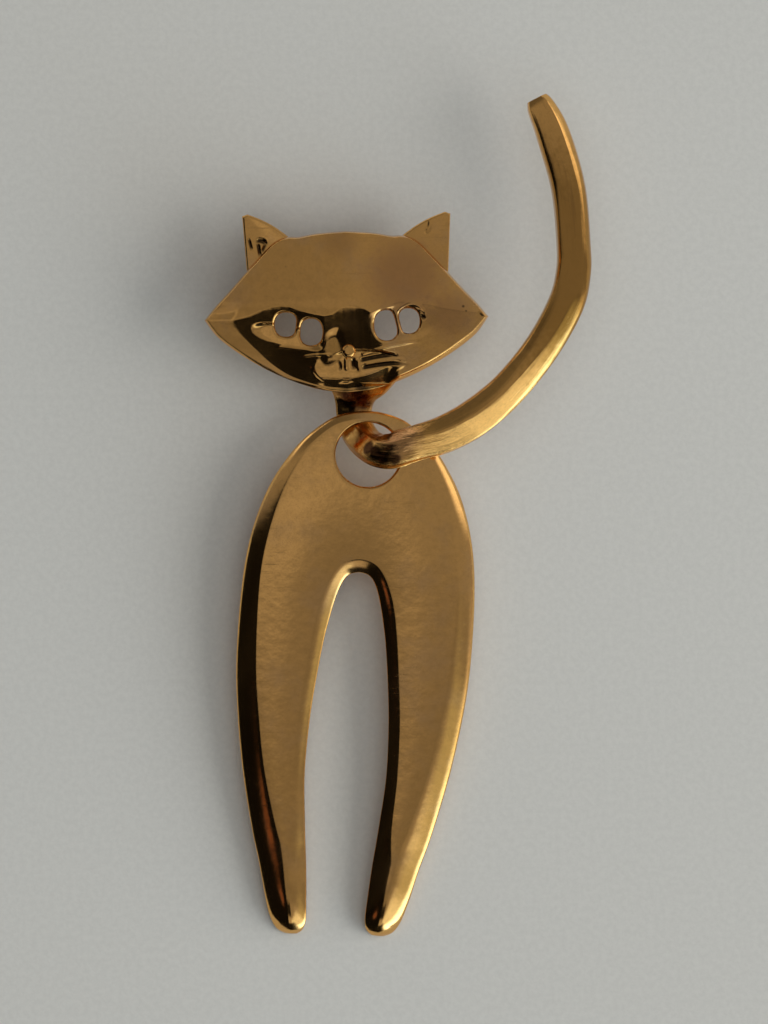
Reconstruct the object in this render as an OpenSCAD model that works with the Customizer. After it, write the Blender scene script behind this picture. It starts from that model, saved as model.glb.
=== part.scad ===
// Cat brooch in two linked parts: a cast head whose neck hooks through a pressed body
// plate and sweeps on as the tail, with a plain brooch pin behind the face.
// It lies face up: +Y points to the tail's tip, +Z out of the face, and z = 0 is the
// surface it lies on.

/* [Body plate] */
// Length from the top edge to the paw tips
body_l = 56.3; // [54:0.1:60]
// Widest width across the flanks
body_w = 25.1; // [23.5:0.1:27]
// Thickness of the pressed sheet
sheet_t = 0.9; // [0.7:0.05:1]
// Depth of the rolled rim along the flanks
flank_depth = 2.4; // [2.1:0.1:2.7]
// Depth of the rolled rim over the hang hole
top_depth = 1.2; // [1.1:0.05:1.4]
// Width of the roll along the flanks, seen from the front
flank_roll = 2; // [1.6:0.1:2.4]
// Length of the slot between the legs
slot_l = 39; // [37:0.1:40]
// Widest width of the slot
slot_w = 8.7; // [7.5:0.1:9.5]
// Depth of the rolled rim along the slot
slot_depth = 1.8; // [1.5:0.1:2.1]
// Width of the roll along the slot, seen from the front
slot_roll = 1.4; // [1.1:0.1:1.7]
// Rise of the middle of the sheet between its rolls
sheet_crown = 0.25; // [0.1:0.05:0.4]
// Radius of the hang hole
hole_r = 3.45; // [3.35:0.05:3.7]
// Web between the hang hole and the top edge
hole_web = 1.2; // [1.1:0.05:1.6]
// Extra length of the left leg over the right
leg_extra = 0.4; // [0:0.1:0.6]
// Turn of the plate from straight down, as it lies
body_turn = -4; // [-8:0.5:8]

/* [Face] */
// Width from cheek tip to cheek tip
face_w = 30.3; // [28:0.1:33]
// Height from the chin to the crown
face_h = 17.3; // [16:0.1:18.5]
// Thickness of the casting at the rim of the face
face_t = 1.2; // [1:0.05:1.4]
// Rise of the middle of the face above its rim
face_rise = 2.4; // [2.1:0.1:2.8]
// Depth of the hollow behind the face
face_hollow = 2; // [1.6:0.1:2.2]
// Lean of the face to the left of upright
head_lean = 0.8; // [-3:0.1:3]
// Height of the ears above the crown
ear_rise = 1.9; // [1.5:0.1:2.6]
// Thickness of the ears
ear_t = 1.3; // [1.1:0.05:1.6]
// Depth of the cup in each ear
ear_cup = 0.6; // [0.4:0.05:0.7]
// Width of each half of an eye's opening
eye_half_w = 2.5; // [2.2:0.1:2.7]
// Width of the bar that stands in each eye as its pupil
pupil_w = 0.45; // [0.4:0.05:0.6]
// Radius of the nose
nose_r = 0.7; // [0.6:0.05:0.9]
// Height of the muzzle above the face
muzzle_rise = 0.5; // [0.3:0.05:0.7]
// Radius of the cast whiskers and lids
line_r = 0.17; // [0.14:0.01:0.22]

/* [Neck and tail] */
// Length of the neck from the hang point to the chin
neck_l = 5.6; // [5.3:0.1:6.5]
// Width of the neck
neck_w = 3.8; // [3.4:0.1:4]
// Thickness of the neck
neck_t = 1.9; // [1.7:0.05:2.1]
// Height of the neck's back above the surface it lies on
neck_lift = 2.1; // [1.9:0.1:2.6]
// Step to the left from the hang point to the neck
hook_run = 1.5; // [1.3:0.1:1.7]
// Step to the left from the neck to the middle of the face
chin_shift = 0.85; // [0:0.05:1.2]
// Width of the tail
tail_w = 3.9; // [3.6:0.1:4.2]
// Thickness of the tail
tail_t = 2.2; // [2:0.05:2.4]
// Reach of the tail to the right of the hang point, to its middle line
tail_reach = 21.8; // [20:0.1:24]
// Rise of the tail's tip above the hang point
tail_rise = 37.1; // [34:0.1:41]
// Clearance between the plate and the hook in front of it and behind it
hang_gap = 0.35; // [0.3:0.05:0.5]
// Height of the hang point above the middle of the hang hole
hang_rise = 1.05; // [0.9:0.05:1.2]

/* [Brooch pin] */
// Length of the bar behind the face
bar_l = 20; // [18:0.5:21]
// Width of the bar
bar_w = 2.4; // [2:0.1:3]
// Thickness of the bar
bar_t = 0.8; // [0.7:0.05:1]
// Height of the bar above the middle of the face, clear of the eyes
bar_rise = 3.2; // [3:0.1:3.8]
// Height of the bar's front above the surface it lies on
pin_h = 4.4; // [4.2:0.1:5]
// Outer radius of the catch and of the knuckle
catch_r = 1.6; // [1.4:0.05:1.8]
// How far the catch and the knuckle are flattened underneath, where they rest
foot_cut = 0.15; // [0.1:0.05:0.3]
// Diameter of the pin stem
stem_d = 0.9; // [0.8:0.05:1.1]
// Gap between the bar and the back of the face
seat_gap = 0.1; // [0.08:0.01:0.2]

/* [Hidden] */

gold = [0.72, 0.53, 0.26];
old_gold = [0.62, 0.44, 0.2];
steel = [0.7, 0.69, 0.66];

// Half of the face's upper outline, crown to cheek tip.
// Columns: x as a share of half the face's width, y as a share of its height.
BROW_LINE = [[0, 0.54], [0.2, 0.527], [0.325, 0.508], [0.415, 0.506], [0.51, 0.471],
    [0.605, 0.388], [0.705, 0.292], [0.825, 0.174], [0.925, 0.08], [1, 0]];
// Half of the lower outline, cheek tip to chin, with the same columns
JAW_LINE = [[1, 0], [0.91, -0.105], [0.765, -0.204], [0.61, -0.288], [0.465, -0.352],
    [0.325, -0.401], [0.17, -0.44], [0, -0.457]];
chin_share = 0.457;
crown_share = 0.54;
BROW_STEPS = 20;
JAW_STEPS = 13;
// Rings of the face, as shares of its outline: over the front, then over the back
FRONT_RINGS = [1, 0.96, 0.9, 0.83, 0.75, 0.66, 0.57, 0.48, 0.38, 0.27, 0.15, 0.03];
BACK_RINGS = [0.03, 0.25, 0.45, 0.62, 0.76, 0.87];
rim_share = 0.93;
// How sharply the face turns down at its rim, and how much sharper at the crown
rim_power = 3.3;
crown_power = 1.3;

// The right ear, then the left. Columns: outer foot, inner foot, each with x as a share
// of half the face's width and y as a share of its height, then the tip's x share.
EARS = [[[0.72, 0.255], [0.36, 0.48], 0.742], [[0.695, 0.27], [0.36, 0.48], 0.725]];
EAR_ACROSS = [0, 0.1, 0.28, 0.5, 0.72, 0.9, 1];
ear_steps = 7;
// Share of the ear that is left by its blunted tip, and the arch of its inner edge
ear_blunt = 0.97;
ear_arch = 0.35;

// Halves of each eye's opening, the right eye's first, which the left is mirrored to.
// Columns: middle as shares of half the face's width and of its height, then the width
// and the height of the half as shares of eye_half_w.
EYE_HALVES = [[[0.28, -0.048, 1.02, 1.28], [0.438, -0.022, 0.92, 1.06]],
    [[0.25, -0.082, 0.97, 1.13], [0.425, -0.034, 0.97, 1.02]]];
// Bar between the halves, right then left: middle with the same shares, lean in degrees
EYE_BARS = [[0.362, -0.035, 14], [0.342, -0.051, 10]];
// Whiskers on the right cheek: start and end, with the face's shares as columns
WHISKERS = [[0.11, -0.222, 0.47, -0.155], [0.115, -0.262, 0.34, -0.226],
    [0.125, -0.305, 0.44, -0.285]];
// Upper lid of the right eye, from the nose to the temple, with the same shares
LID = [[0.185, -0.03], [0.235, 0.04], [0.36, 0.062], [0.48, 0.046], [0.565, -0.012]];
muzzle_place = [-0.03, -0.285];
muzzle_size = [0.16, 0.11];
nose_place = [0.012, -0.204];
socket_place = [0.36, -0.035];
socket_size = [0.17, 0.1];
socket_depth = 0.35;

// The neck from the chin down to the plate. Columns: x as a share of hook_run, y as a
// share of neck_l, height as a share of the step from neck to tail, width as a share
// of neck_w, thickness as a share of neck_t, roll in degrees.
NECK = [
    [-0.8, 1.3, 0.6, 2.25, 0.9, 0],
    [-0.88, 1.12, 0.36, 1.85, 0.95, 0],
    [-0.97, 0.95, 0.12, 1.32, 1, 0],
    [-1.03, 0.79, 0.01, 1.08, 1, 0],
    [-1.05, 0.62, 0, 1, 1, 0],
    [-0.98, 0.46, 0, 0.98, 1, 2]];
// The curl through the hang hole. Columns: x and y as shares of hook_run, then as above
// with width and thickness as shares of the tail's.
CURL = [
    [-0.72, 1.06, 0.07, 0.93, 0.88, 6],
    [-0.28, 0.46, 0.34, 0.9, 0.86, 18],
    [0.2, 0.04, 0.68, 0.9, 0.88, 26],
    [0.8, -0.24, 0.96, 0.93, 0.94, 28],
    [1.66, -0.3, 1.1, 0.95, 1, 24]];
// The tail from the hang hole to its tip. Columns: x as a share of tail_reach, y as a
// share of tail_rise, then as above.
TAIL = [
    [0.183, 0, 1.13, 0.95, 1, 19],
    [0.252, 0.012, 1.12, 0.96, 1, 14],
    [0.377, 0.034, 1.1, 1.02, 1, 8],
    [0.522, 0.08, 1.1, 1.05, 1, 4],
    [0.683, 0.16, 1.14, 1, 1, 2],
    [0.844, 0.277, 1.14, 0.98, 1, 0],
    [0.961, 0.4, 1.08, 1, 1, 0],
    [1, 0.49, 1.02, 0.97, 1, 0],
    [1.002, 0.578, 0.98, 0.94, 1, 0],
    [0.977, 0.738, 0.92, 0.95, 1, 0],
    [0.904, 0.89, 0.88, 0.93, 0.95, 0],
    [0.844, 0.97, 0.86, 0.78, 0.85, 0],
    [0.822, 0.996, 0.85, 0.58, 0.6, 0]];
sweep_steps = 3;
// Reach of the slanting end of the tail past its middle line, as a share of tail_w
tip_over = 0.09;
// Outline of the tail's section. Columns: shares of half its width and of its thickness.
TAIL_SECTION = [[1, -0.28], [0.97, 0], [0.82, 0.24], [0.58, 0.39], [0.3, 0.47], [0, 0.5],
    [-0.3, 0.47], [-0.58, 0.39], [-0.82, 0.24], [-0.97, 0], [-1, -0.28], [-0.84, -0.5],
    [0.84, -0.5]];

// Half of the body plate, from the top middle to the right paw. Columns: outer edge as
// shares of half body_w and of body_l, slot edge as shares of half slot_w and of
// slot_l, depth of the outer rim as a share of the step from top_depth to flank_depth,
// widths of the two rolls as shares of flank_roll and slot_roll, and height of the
// sheet as a share of the rim's depth.
PLATE = [
    [0, 0, 0, 0, 0, 0.45, 1.05, 1],
    [0.191, 0.006, 0.12, 0.002, 0, 0.45, 1.05, 1],
    [0.35, 0.0215, 0.22, 0.006, 0, 0.46, 1.05, 1],
    [0.554, 0.061, 0.31, 0.014, 0.04, 0.55, 1.05, 1],
    [0.713, 0.11, 0.39, 0.028, 0.25, 0.75, 1.05, 1],
    [0.829, 0.16, 0.46, 0.046, 0.6, 0.92, 1.05, 1],
    [0.924, 0.226, 0.54, 0.074, 0.9, 1, 1.05, 1],
    [0.978, 0.297, 0.627, 0.115, 1, 1, 1.05, 1],
    [1, 0.386, 0.76, 0.192, 1, 1, 1.05, 1],
    [0.996, 0.492, 0.887, 0.307, 1, 1, 1.05, 1],
    [0.959, 0.581, 0.972, 0.417, 1, 1.02, 1.05, 1],
    [0.884, 0.688, 1, 0.56, 1, 1.1, 1.1, 1],
    [0.776, 0.795, 0.9, 0.703, 1, 1.3, 1.25, 1],
    [0.686, 0.866, 0.81, 0.806, 0.98, 1.5, 1.5, 1],
    [0.62, 0.925, 0.75, 0.895, 0.9, 1.5, 1.6, 0.98],
    [0.562, 0.967, 0.725, 0.954, 0.85, 1.5, 1.6, 0.86],
    [0.5, 0.99, 0.785, 0.983, 0.85, 1.5, 1.6, 0.62],
    [0.425, 0.999, 0.92, 0.997, 0.85, 1.5, 1.6, 0.34]];
plate_steps = 2;
ROLL_ANGLES = [0, 18, 36, 54, 72, 90];
BACK_ANGLES = [0, 35, 65, 90];
// Most that each roll takes of a narrow section, outer roll first, and the most that
// the sheet's thickness takes of it
ROLL_LIMITS = [0.52, 0.4];
wall_limit = 0.25;
// Least bend and least hollow behind the narrowest section
least_bend = 0.1;
least_hollow = 0.05;

// Places that follow from the sizes above
brow_y = crown_share * face_h;
hole_drop = hole_r + hole_web;
neck_z = neck_lift + neck_t / 2;
paw_depth = top_depth + PLATE[len(PLATE) - 1][4] * (flank_depth - top_depth);
// The plate slopes down from the hook, where its rim clears the neck, to its paws
rim_z = neck_lift + neck_t + hang_gap + top_depth;
plate_tilt = atan((rim_z - paw_depth) / body_l);
plate_z = rim_z - (hole_drop - hang_rise) * tan(plate_tilt);
tail_z = rim_z + hang_gap + tail_t / 2;
head_place = [-hook_run - chin_shift, neck_l + chin_share * face_h];
// The hang point, set so that the origin is below the middle of the whole brooch
reach_left = head_place.x - face_w / 2;
reach_right = tail_reach + TAIL[7][3] * tail_w / 2;
reach_up = tail_rise + tip_over * tail_w;
reach_down = hang_rise + body_l - hole_drop;
hang = [-(reach_left + reach_right) / 2, -(reach_up - reach_down) / 2];

// A row between the rows of a table, where t runs from 0 to 1 over all of it
function smooth_row(rows, t) =
    let (n = len(rows) - 1, s = min(t * n, n - 0.00001), i = floor(s), f = s - i,
         a = rows[max(i - 1, 0)], b = rows[i], c = rows[i + 1], d = rows[min(i + 2, n)])
    (2 * b + (c - a) * f + (2 * a - 5 * b + 4 * c - d) * f ^ 2
        + (3 * b - a - 3 * c + d) * f ^ 3) / 2;

function unit(v) = v / norm(v);

// A closed solid through rings that all have equally many points
module loft(rings) {
    n = len(rings[0]);
    last = len(rings) - 1;
    sides = [for (k = [0:last - 1], i = [0:n - 1])
        let (j = (i + 1) % n, low = k * n, high = low + n)
        each [[low + i, low + j, high + j], [low + i, high + j, high + i]]];
    ends = [[for (i = [n - 1:-1:0]) i], [for (i = [0:n - 1]) last * n + i]];
    polyhedron([for (ring = rings) each ring], concat(sides, ends), convexity = 10);
}

// Outline of the face, once round from the crown over the right cheek, in millimetres
half_outline = concat(
    [for (i = [0:BROW_STEPS - 1]) smooth_row(BROW_LINE, i / BROW_STEPS)],
    [for (i = [0:JAW_STEPS]) smooth_row(JAW_LINE, i / JAW_STEPS)]);
outline = [for (p = concat(half_outline,
        [for (i = [len(half_outline) - 2:-1:1]) [-half_outline[i].x, half_outline[i].y]]))
    [p.x * face_w / 2, p.y * face_h]];

function place(share) = [share[0] * face_w / 2, share[1] * face_h];

// How far point p lies out from the middle of the face, as a share of the outline
function share_out(p) =
    norm(p) < 0.001 ? 0 : max([for (i = [0:len(outline) - 1])
        let (a = outline[i], b = outline[(i + 1) % len(outline)],
             area = a.x * b.y - a.y * b.x,
             u = (p.x * b.y - p.y * b.x) / area, v = (a.x * p.y - a.y * p.x) / area)
        if (u >= -0.0001 && v >= -0.0001) u + v]);

// The dome is flat over the forehead and falls away evenly towards the jaw
function dome(p, share) =
    let (up = norm(p) < 0.001 ? 0 : p.y / norm(p)) 1 - share ^ (rim_power + crown_power * up);

function bump(p, middle, size) =
    exp(-((p.x - middle.x) / size.x) ^ 2 - ((p.y - middle.y) / size.y) ^ 2);

// Height of the face's front at p, above the lower edge of its rim
function front_z(p, share) =
    face_t + face_rise * dome(p, share)
        + muzzle_rise * bump(p, place(muzzle_place), place(muzzle_size))
        - socket_depth * bump([abs(p.x), p.y], place(socket_place), place(socket_size));

// Height of the back of the face at p, above the lower edge of its rim
function back_z(p, share) = face_hollow * dome(p, min(share / rim_share, 1));

// The bar's ends just clear the hollow back, which sets the height of the rim
bar_end = [bar_l / 2, bar_rise + bar_w / 2];
face_z = pin_h + seat_gap - back_z(bar_end, share_out(bar_end));

function on_face(share) =
    let (p = place(share)) [p.x, p.y, front_z(p, share_out(p))];

module face_shell() {
    front = [for (s = FRONT_RINGS) [for (p = outline) [p.x * s, p.y * s, front_z(p * s, s)]]];
    back = [for (s = BACK_RINGS) [for (p = outline) [p.x * s, p.y * s, back_z(p * s, s)]]];
    rim = [for (s = [rim_share, 1]) [for (p = outline) [p.x * s, p.y * s, 0]]];
    loft(concat(back, rim, front));
}

module eye_opening(halves, bar) {
    linear_extrude(face_rise + face_t + face_hollow)
        difference() {
            for (half = halves)
                translate(place(half))
                    scale([half[2], half[3]])
                        circle(d = eye_half_w, $fn = 20);
            translate(place(bar))
                rotate(bar[2])
                    square([pupil_w, 3 * eye_half_w], center = true);
        }
}

// A thin cast line through points on the face
module cast_line(points) {
    for (i = [0:len(points) - 2])
        hull()
            for (p = [points[i], points[i + 1]])
                translate(on_face(p)) sphere(line_r, $fn = 8);
}

module ear(row) {
    outer = place(row[0]);
    inner = place(row[1]);
    tip = [row[2] * face_w / 2, brow_y + ear_rise];
    loft([for (k = [0:ear_steps])
        let (s = ear_blunt * k / ear_steps, a = outer + (tip - outer) * s,
             b = inner + (tip - inner) * s + [0, ear_arch * sin(180 * s)])
        concat(
            [for (q = EAR_ACROSS) let (p = a + (b - a) * q)
                [p.x, p.y, ear_t - ear_cup * (1 - s) * sin(180 * q)]],
            [for (q = [1, 0.5, 0]) let (p = a + (b - a) * q) [p.x, p.y, 0]])]);
}

// Middle line and section sizes of the neck, curl and tail, from the hang point:
// x, y, z, width, thickness and roll
sweep_rows = concat(
    [for (r = NECK) [r[0] * hook_run, r[1] * neck_l, neck_z + r[2] * (tail_z - neck_z),
        r[3] * neck_w, r[4] * neck_t, r[5]]],
    [for (r = CURL) [r[0] * hook_run, r[1] * hook_run, neck_z + r[2] * (tail_z - neck_z),
        r[3] * tail_w, r[4] * tail_t, r[5]]],
    [for (r = TAIL) [r[0] * tail_reach, r[1] * tail_rise,
        neck_z + r[2] * (tail_z - neck_z), r[3] * tail_w, r[4] * tail_t, r[5]]]);

module neck_and_tail() {
    spans = (len(sweep_rows) - 1) * sweep_steps;
    step = 0.2 / spans;
    loft([for (k = [0:spans])
        let (t = k / spans, row = smooth_row(sweep_rows, t),
             ahead = smooth_row(sweep_rows, min(t + step, 1)),
             behind = smooth_row(sweep_rows, max(t - step, 0)),
             along = unit([for (i = [0:2]) ahead[i] - behind[i]]),
             side = unit(cross(along, [0, 0, 1])), up = cross(side, along),
             wide = side * cos(row[5]) + up * sin(row[5]),
             thick = up * cos(row[5]) - side * sin(row[5]))
        [for (q = TAIL_SECTION)
            [row[0], row[1], row[2]] + wide * q.x * row[3] / 2 + thick * q.y * row[4]]]);
}

module head_and_tail() color(old_gold) translate(hang) {
    translate([head_place.x, head_place.y, face_z]) rotate(head_lean) {
        difference() {
            union() {
                face_shell();
                for (side = [0, 1]) mirror([side, 0, 0]) {
                    for (w = WHISKERS)
                        cast_line([[w[0], w[1]], ([w[0], w[1]] + [w[2], w[3]]) / 2,
                            [w[2], w[3]]]);
                    cast_line(LID);
                }
                translate(on_face(nose_place)) sphere(nose_r, $fn = 16);
            }
            for (side = [0, 1]) mirror([side, 0, 0])
                eye_opening(EYE_HALVES[side], EYE_BARS[side]);
        }
        for (side = [0, 1]) mirror([side, 0, 0]) ear(EARS[side]);
    }
    neck_and_tail();
}

// Section of the body plate between its outer edge and the slot, at one row of the
// full table: a ring of points with the front first and the hollow back after it
function plate_ring(row) =
    let (extra = row[0] < 0 ? leg_extra : 0,
         outer = [row[0] * body_w / 2, hole_drop - row[1] * (body_l + extra)],
         inner = [row[2] * slot_w / 2,
                  hole_drop - body_l + slot_l - row[3] * (slot_l + extra)],
         width = norm(inner - outer), across = (inner - outer) / width,
         flank = top_depth + row[4] * (flank_depth - top_depth),
         depth = [flank, min(flank, slot_depth)],
         roll = [min(row[5] * flank_roll, width * ROLL_LIMITS[0]),
                 min(row[6] * slot_roll, width * ROLL_LIMITS[1])],
         top = -(1 - row[7]) * flank, wall = min(sheet_t, width * wall_limit),
         hollow = [for (d = depth) max(top + d - sheet_t, least_hollow)],
         flat_w = width - roll[0] - roll[1])
    [for (q = concat(
        [for (a = ROLL_ANGLES) [roll[0] * (1 - cos(a)), top - (top + depth[0]) * (1 - sin(a))]],
        [for (f = [0.33, 0.67]) [roll[0] + f * flat_w, top + sheet_crown * row[7]]],
        [for (i = [len(ROLL_ANGLES) - 1:-1:0]) let (a = ROLL_ANGLES[i])
            [width - roll[1] * (1 - cos(a)), top - (top + depth[1]) * (1 - sin(a))]],
        [for (a = BACK_ANGLES) let (r = max(roll[1] - wall, least_bend))
            [width - wall - r * (1 - cos(a)), hollow[1] * sin(a) - depth[1]]],
        [for (i = [len(BACK_ANGLES) - 1:-1:0])
            let (a = BACK_ANGLES[i], r = max(roll[0] - wall, least_bend))
            [wall + r * (1 - cos(a)), hollow[0] * sin(a) - depth[0]]]))
        let (p = outer + across * q[0]) [p.x, p.y, q[1]]];

// The body plate hangs from the hang hole, whose middle is its own origin
module body_plate() {
    full = concat(
        [for (i = [len(PLATE) - 1:-1:1]) PLATE[i]],
        [for (r = PLATE) [-r[0], r[1], -r[2], r[3], r[4], r[5], r[6], r[7]]]);
    rings = (len(full) - 1) * plate_steps;
    color(gold) translate([hang.x, hang.y, plate_z]) rotate([plate_tilt, 0, 0])
        rotate(body_turn) translate([0, -hang_rise, 0])
            difference() {
                loft([for (k = [0:rings]) plate_ring(smooth_row(full, k / rings))]);
                cylinder(h = 4 * flank_depth, r = hole_r, center = true, $fn = 64);
            }
}

// The brooch pin: a bar behind the face, with a knuckle, a stem and a catch
module pin_clasp() {
    post_x = bar_l / 2 - catch_r;
    bar_z = pin_h - bar_t;
    catch_z = catch_r - foot_cut;
    color(steel) translate(hang) translate([head_place.x, head_place.y, 0])
        rotate(head_lean) {
            translate([-bar_l / 2, bar_rise - bar_w / 2, bar_z]) cube([bar_l, bar_w, bar_t]);
            for (side = [-1, 1]) {
                translate([side * post_x - bar_t / 2, bar_rise - bar_w / 2, catch_z])
                    cube([bar_t, bar_w, bar_z - catch_z + bar_t / 2]);
                translate([side * post_x, bar_rise, catch_z])
                    difference() {
                        rotate([90, 0, 0])
                            cylinder(h = bar_w, r = catch_r, center = true, $fn = 32);
                        translate([-catch_r, -bar_w, -2 * catch_r - catch_z])
                            cube([2 * catch_r, 2 * bar_w, 2 * catch_r]);
                    }
            }
            translate([-post_x, bar_rise, catch_z]) rotate([0, 90, 0])
                cylinder(h = 2 * post_x, d = stem_d, $fn = 24);
        }
}

head_and_tail();
body_plate();
pin_clasp();
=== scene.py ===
"""Looks of the cat brooch: a cast head whose neck hooks through a pressed body plate and sweeps
on as the tail.

Every size is in millimetres in the panel and in the shape functions, and in metres in the
meshes.
"""

import math

import bmesh
import bpy
import numpy as np
from bpy.props import FloatProperty, FloatVectorProperty, PointerProperty
from mathutils import Matrix


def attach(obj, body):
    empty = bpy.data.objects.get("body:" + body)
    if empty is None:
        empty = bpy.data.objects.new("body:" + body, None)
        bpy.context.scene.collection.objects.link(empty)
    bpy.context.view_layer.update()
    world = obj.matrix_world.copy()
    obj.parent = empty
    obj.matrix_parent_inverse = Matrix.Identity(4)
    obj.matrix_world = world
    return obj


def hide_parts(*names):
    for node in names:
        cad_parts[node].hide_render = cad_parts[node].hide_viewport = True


bl_info = {
    "name": "Cat brooch",
    "version": (1, 0, 0),
    "blender": (4, 5, 0),
    "location": "3D View > Sidebar > Brooch",
    "description": "Cast head, pressed body plate and brooch pin, with their gold finishes",
    "category": "Add Mesh",
}

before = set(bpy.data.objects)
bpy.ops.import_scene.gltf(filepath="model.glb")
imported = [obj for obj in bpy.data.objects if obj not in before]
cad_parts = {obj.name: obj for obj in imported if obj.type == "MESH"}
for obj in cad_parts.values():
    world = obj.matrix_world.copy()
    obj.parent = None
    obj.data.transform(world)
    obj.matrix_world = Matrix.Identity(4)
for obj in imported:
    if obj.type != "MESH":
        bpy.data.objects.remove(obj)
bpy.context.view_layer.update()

MM = 0.001
# Points that lie closer than this are one, in millimetres
MERGE = 2e-4

# Distance of the camera from the brooch, height of its field there, its place to the side and
# the height that it is focused on, in metres
CAMERA_FAR = 0.8
FIELD = 0.10945
CAMERA_PLACE = (-0.00144, 0.00048)
FOCUS_HEIGHT = 0.004
SENSOR = 36
# Half the width of the paper and distance of the soft lights, in metres
PAPER_HALF = 1.5
LAMP_FAR = 1.2
LAMP_COLOUR = (1.0, 0.985, 0.95)
# Soft lights: name, power in watts, width in metres, bearing from +X and angle from overhead
LIGHTS = [("side_light", 12.0, 1.1, -8, 72), ("top_light", 2.3, 1.6, 0, 0)]

# The room as bands of light or dark: bearing of the middle from +X, half width and soft edge,
# then the angles from overhead where the band starts and where it is full, all in degrees
ROOM = {
    "flank_dark": (210.5, 44.5, 1.5, 16.5, 19),
    "near_dark": (268, 17, 2, 17.5, 19.5),
    "left_shade": (200, 40, 5, 3, 15),
    "top_shade": (122, 24, 12, 20, 40),
    "chin_dark": (272, 24, 8, 50, 57),
    "red": (206.5, 5, 1, 37, 39),
    "glow": (-38, 22, 6, 36, 52),
    "bright": (-55, 24, 6, 34, 43),
    "low_right": (-38, 26, 8, 68, 84),
    "low_far": (24, 14, 6, 60, 76),
    "window": (114, 32, 8, 76, 83),
    "gleam": (-42, 20, 6, 65, 72),
    "near_light": (268, 18, 8, 14, 40),
}
# Two of them end again lower down: angles where the end starts and where it is full
NEAR_DARK_END = (29, 33)
RED_END = (44, 48)
# Light overhead, and as the camera sees the room itself
OVERHEAD = 0.28
SEEN = 0.6

# Tarnish, pits and spots of painted shade: place in millimetres, radius of its core and of its fading edge,
# strength, colour
PIT = (0.06, 0.035, 0.02)
# Painted shade in the curl where it passes through the hang hole
CURL_SHADE = (0.05, 0.014, 0.01)
FACE_STAINS_AND_SHADE = [
    ((0.8, 25.6, 7.6), 1.5, 6.0, 0.55, (0.42, 0.2, 0.1)),
    ((5.5, 21.5, 7.0), 0.8, 3.4, 0.5, (0.42, 0.21, 0.1)),
    # The three larger dark spots at the chin, where the neck meets it, are painted shade; the small ones
    # are pits
    ((-6, 29.4, 7.6), 0.3, 3.0, 0.35, (0.4, 0.2, 0.09)), ((-5.5, 13.7, 5.2), 0.3, 1.0, 0.9, PIT),
    ((-3.8, 14.0, 5.3), 0.5, 1.2, 0.9, PIT), ((-2.1, 14.6, 5.3), 0.4, 1.1, 0.9, PIT),
    ((-10.64, 25.95, 7.0), 0.03, 0.16, 0.9, PIT), ((-10.0, 23.6, 7.0), 0.03, 0.2, 0.9, PIT),
    ((-11.9, 26.6, 7.0), 0.03, 0.16, 0.8, PIT), ((7.0, 22.4, 6.8), 0.03, 0.22, 0.9, PIT),
    ((7.3, 21.9, 6.8), 0.03, 0.16, 0.9, PIT), ((-5.4, 27.7, 7.2), 0.03, 0.14, 0.8, PIT),
]
SHEET_STAINS = [
    ((-9.0, -3.6, 5.0), 0.03, 0.2, 0.85, PIT), ((5.1, -12.2, 5.0), 0.03, 0.22, 0.9, PIT),
    ((-2.9, -1.6, 5.0), 0.03, 0.14, 0.7, PIT), ((-6.3, -6.8, 5.0), 0.03, 0.16, 0.7, PIT),
    ((2.2, -7.9, 5.0), 0.03, 0.13, 0.7, PIT),
]
# The neck's dark spot, the darker brown of the upper tail and the dark spots in the curl are painted shade;
# the mauve spot on the curl is a tint
TAIL_SHADE_AND_TINTS = [
    ((-4.4, 12.9, 4.0), 1.2, 2.4, 0.94, (0.1, 0.022, 0.012)),
    ((18.8, 27.0, 7.9), 6.0, 17.0, 0.7, (0.36, 0.18, 0.04)),
    ((0.2, 8.4, 8.4), 0.8, 3.2, 0.5, (0.42, 0.22, 0.15)),
    ((-3.1, 7.3, 7.0), 0.55, 0.9, 0.92, CURL_SHADE),
    ((-2.3, 6.8, 7.6), 0.6, 0.9, 0.94, CURL_SHADE),
    ((-1.3, 6.3, 7.9), 0.5, 0.85, 0.94, CURL_SHADE),
    ((-0.3, 6.05, 8.2), 0.4, 0.8, 0.9, (0.06, 0.018, 0.012)),
]

# Half of the face's outline from crown to cheek tip, then on to the chin: x as a share of
# half the face's width, y as a share of its height
BROW_LINE = [
    (0, 0.54), (0.2, 0.527), (0.325, 0.508), (0.415, 0.506), (0.51, 0.471), (0.605, 0.388),
    (0.705, 0.292), (0.825, 0.174), (0.925, 0.08), (1, 0),
]
JAW_LINE = [
    (1, 0), (0.91, -0.105), (0.765, -0.204), (0.61, -0.288), (0.465, -0.352), (0.325, -0.401),
    (0.17, -0.44), (0, -0.457),
]
CHIN_SHARE = 0.457
CROWN_SHARE = 0.54
# Points that the two lines are drawn with
OUTLINE_STEPS = (260, 220)
# Edge of the hollow back as a share of the outline, and how flat the hollow is at its foot
RIM_SHARE = 0.93
FOOT_POWER = 8

# Each ear: outer foot, inner foot and the tip's x, with the same shares, right ear first
EARS = [((0.72, 0.255), (0.36, 0.48), 0.742), ((0.695, 0.27), (0.36, 0.48), 0.725)]

# Depth of each ear's cup, right ear first, power of its curve, how far the edges end short of the
# tip, bow of the inner edge, rounding of the rim and length of an edge, in millimetres
EAR_CUPS = (0.12, 0.2)
EAR_CUP_POWER = 0.8
EAR_BLUNT = ((0, 0.2), (0.6, 0))
EAR_BOW = 0.35
EAR_ROUNDING = 0.3
EAR_LENGTH = 5

# Rise of the nose button's flat top, as a share of its radius
NOSE_RISE = 0.55

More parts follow.
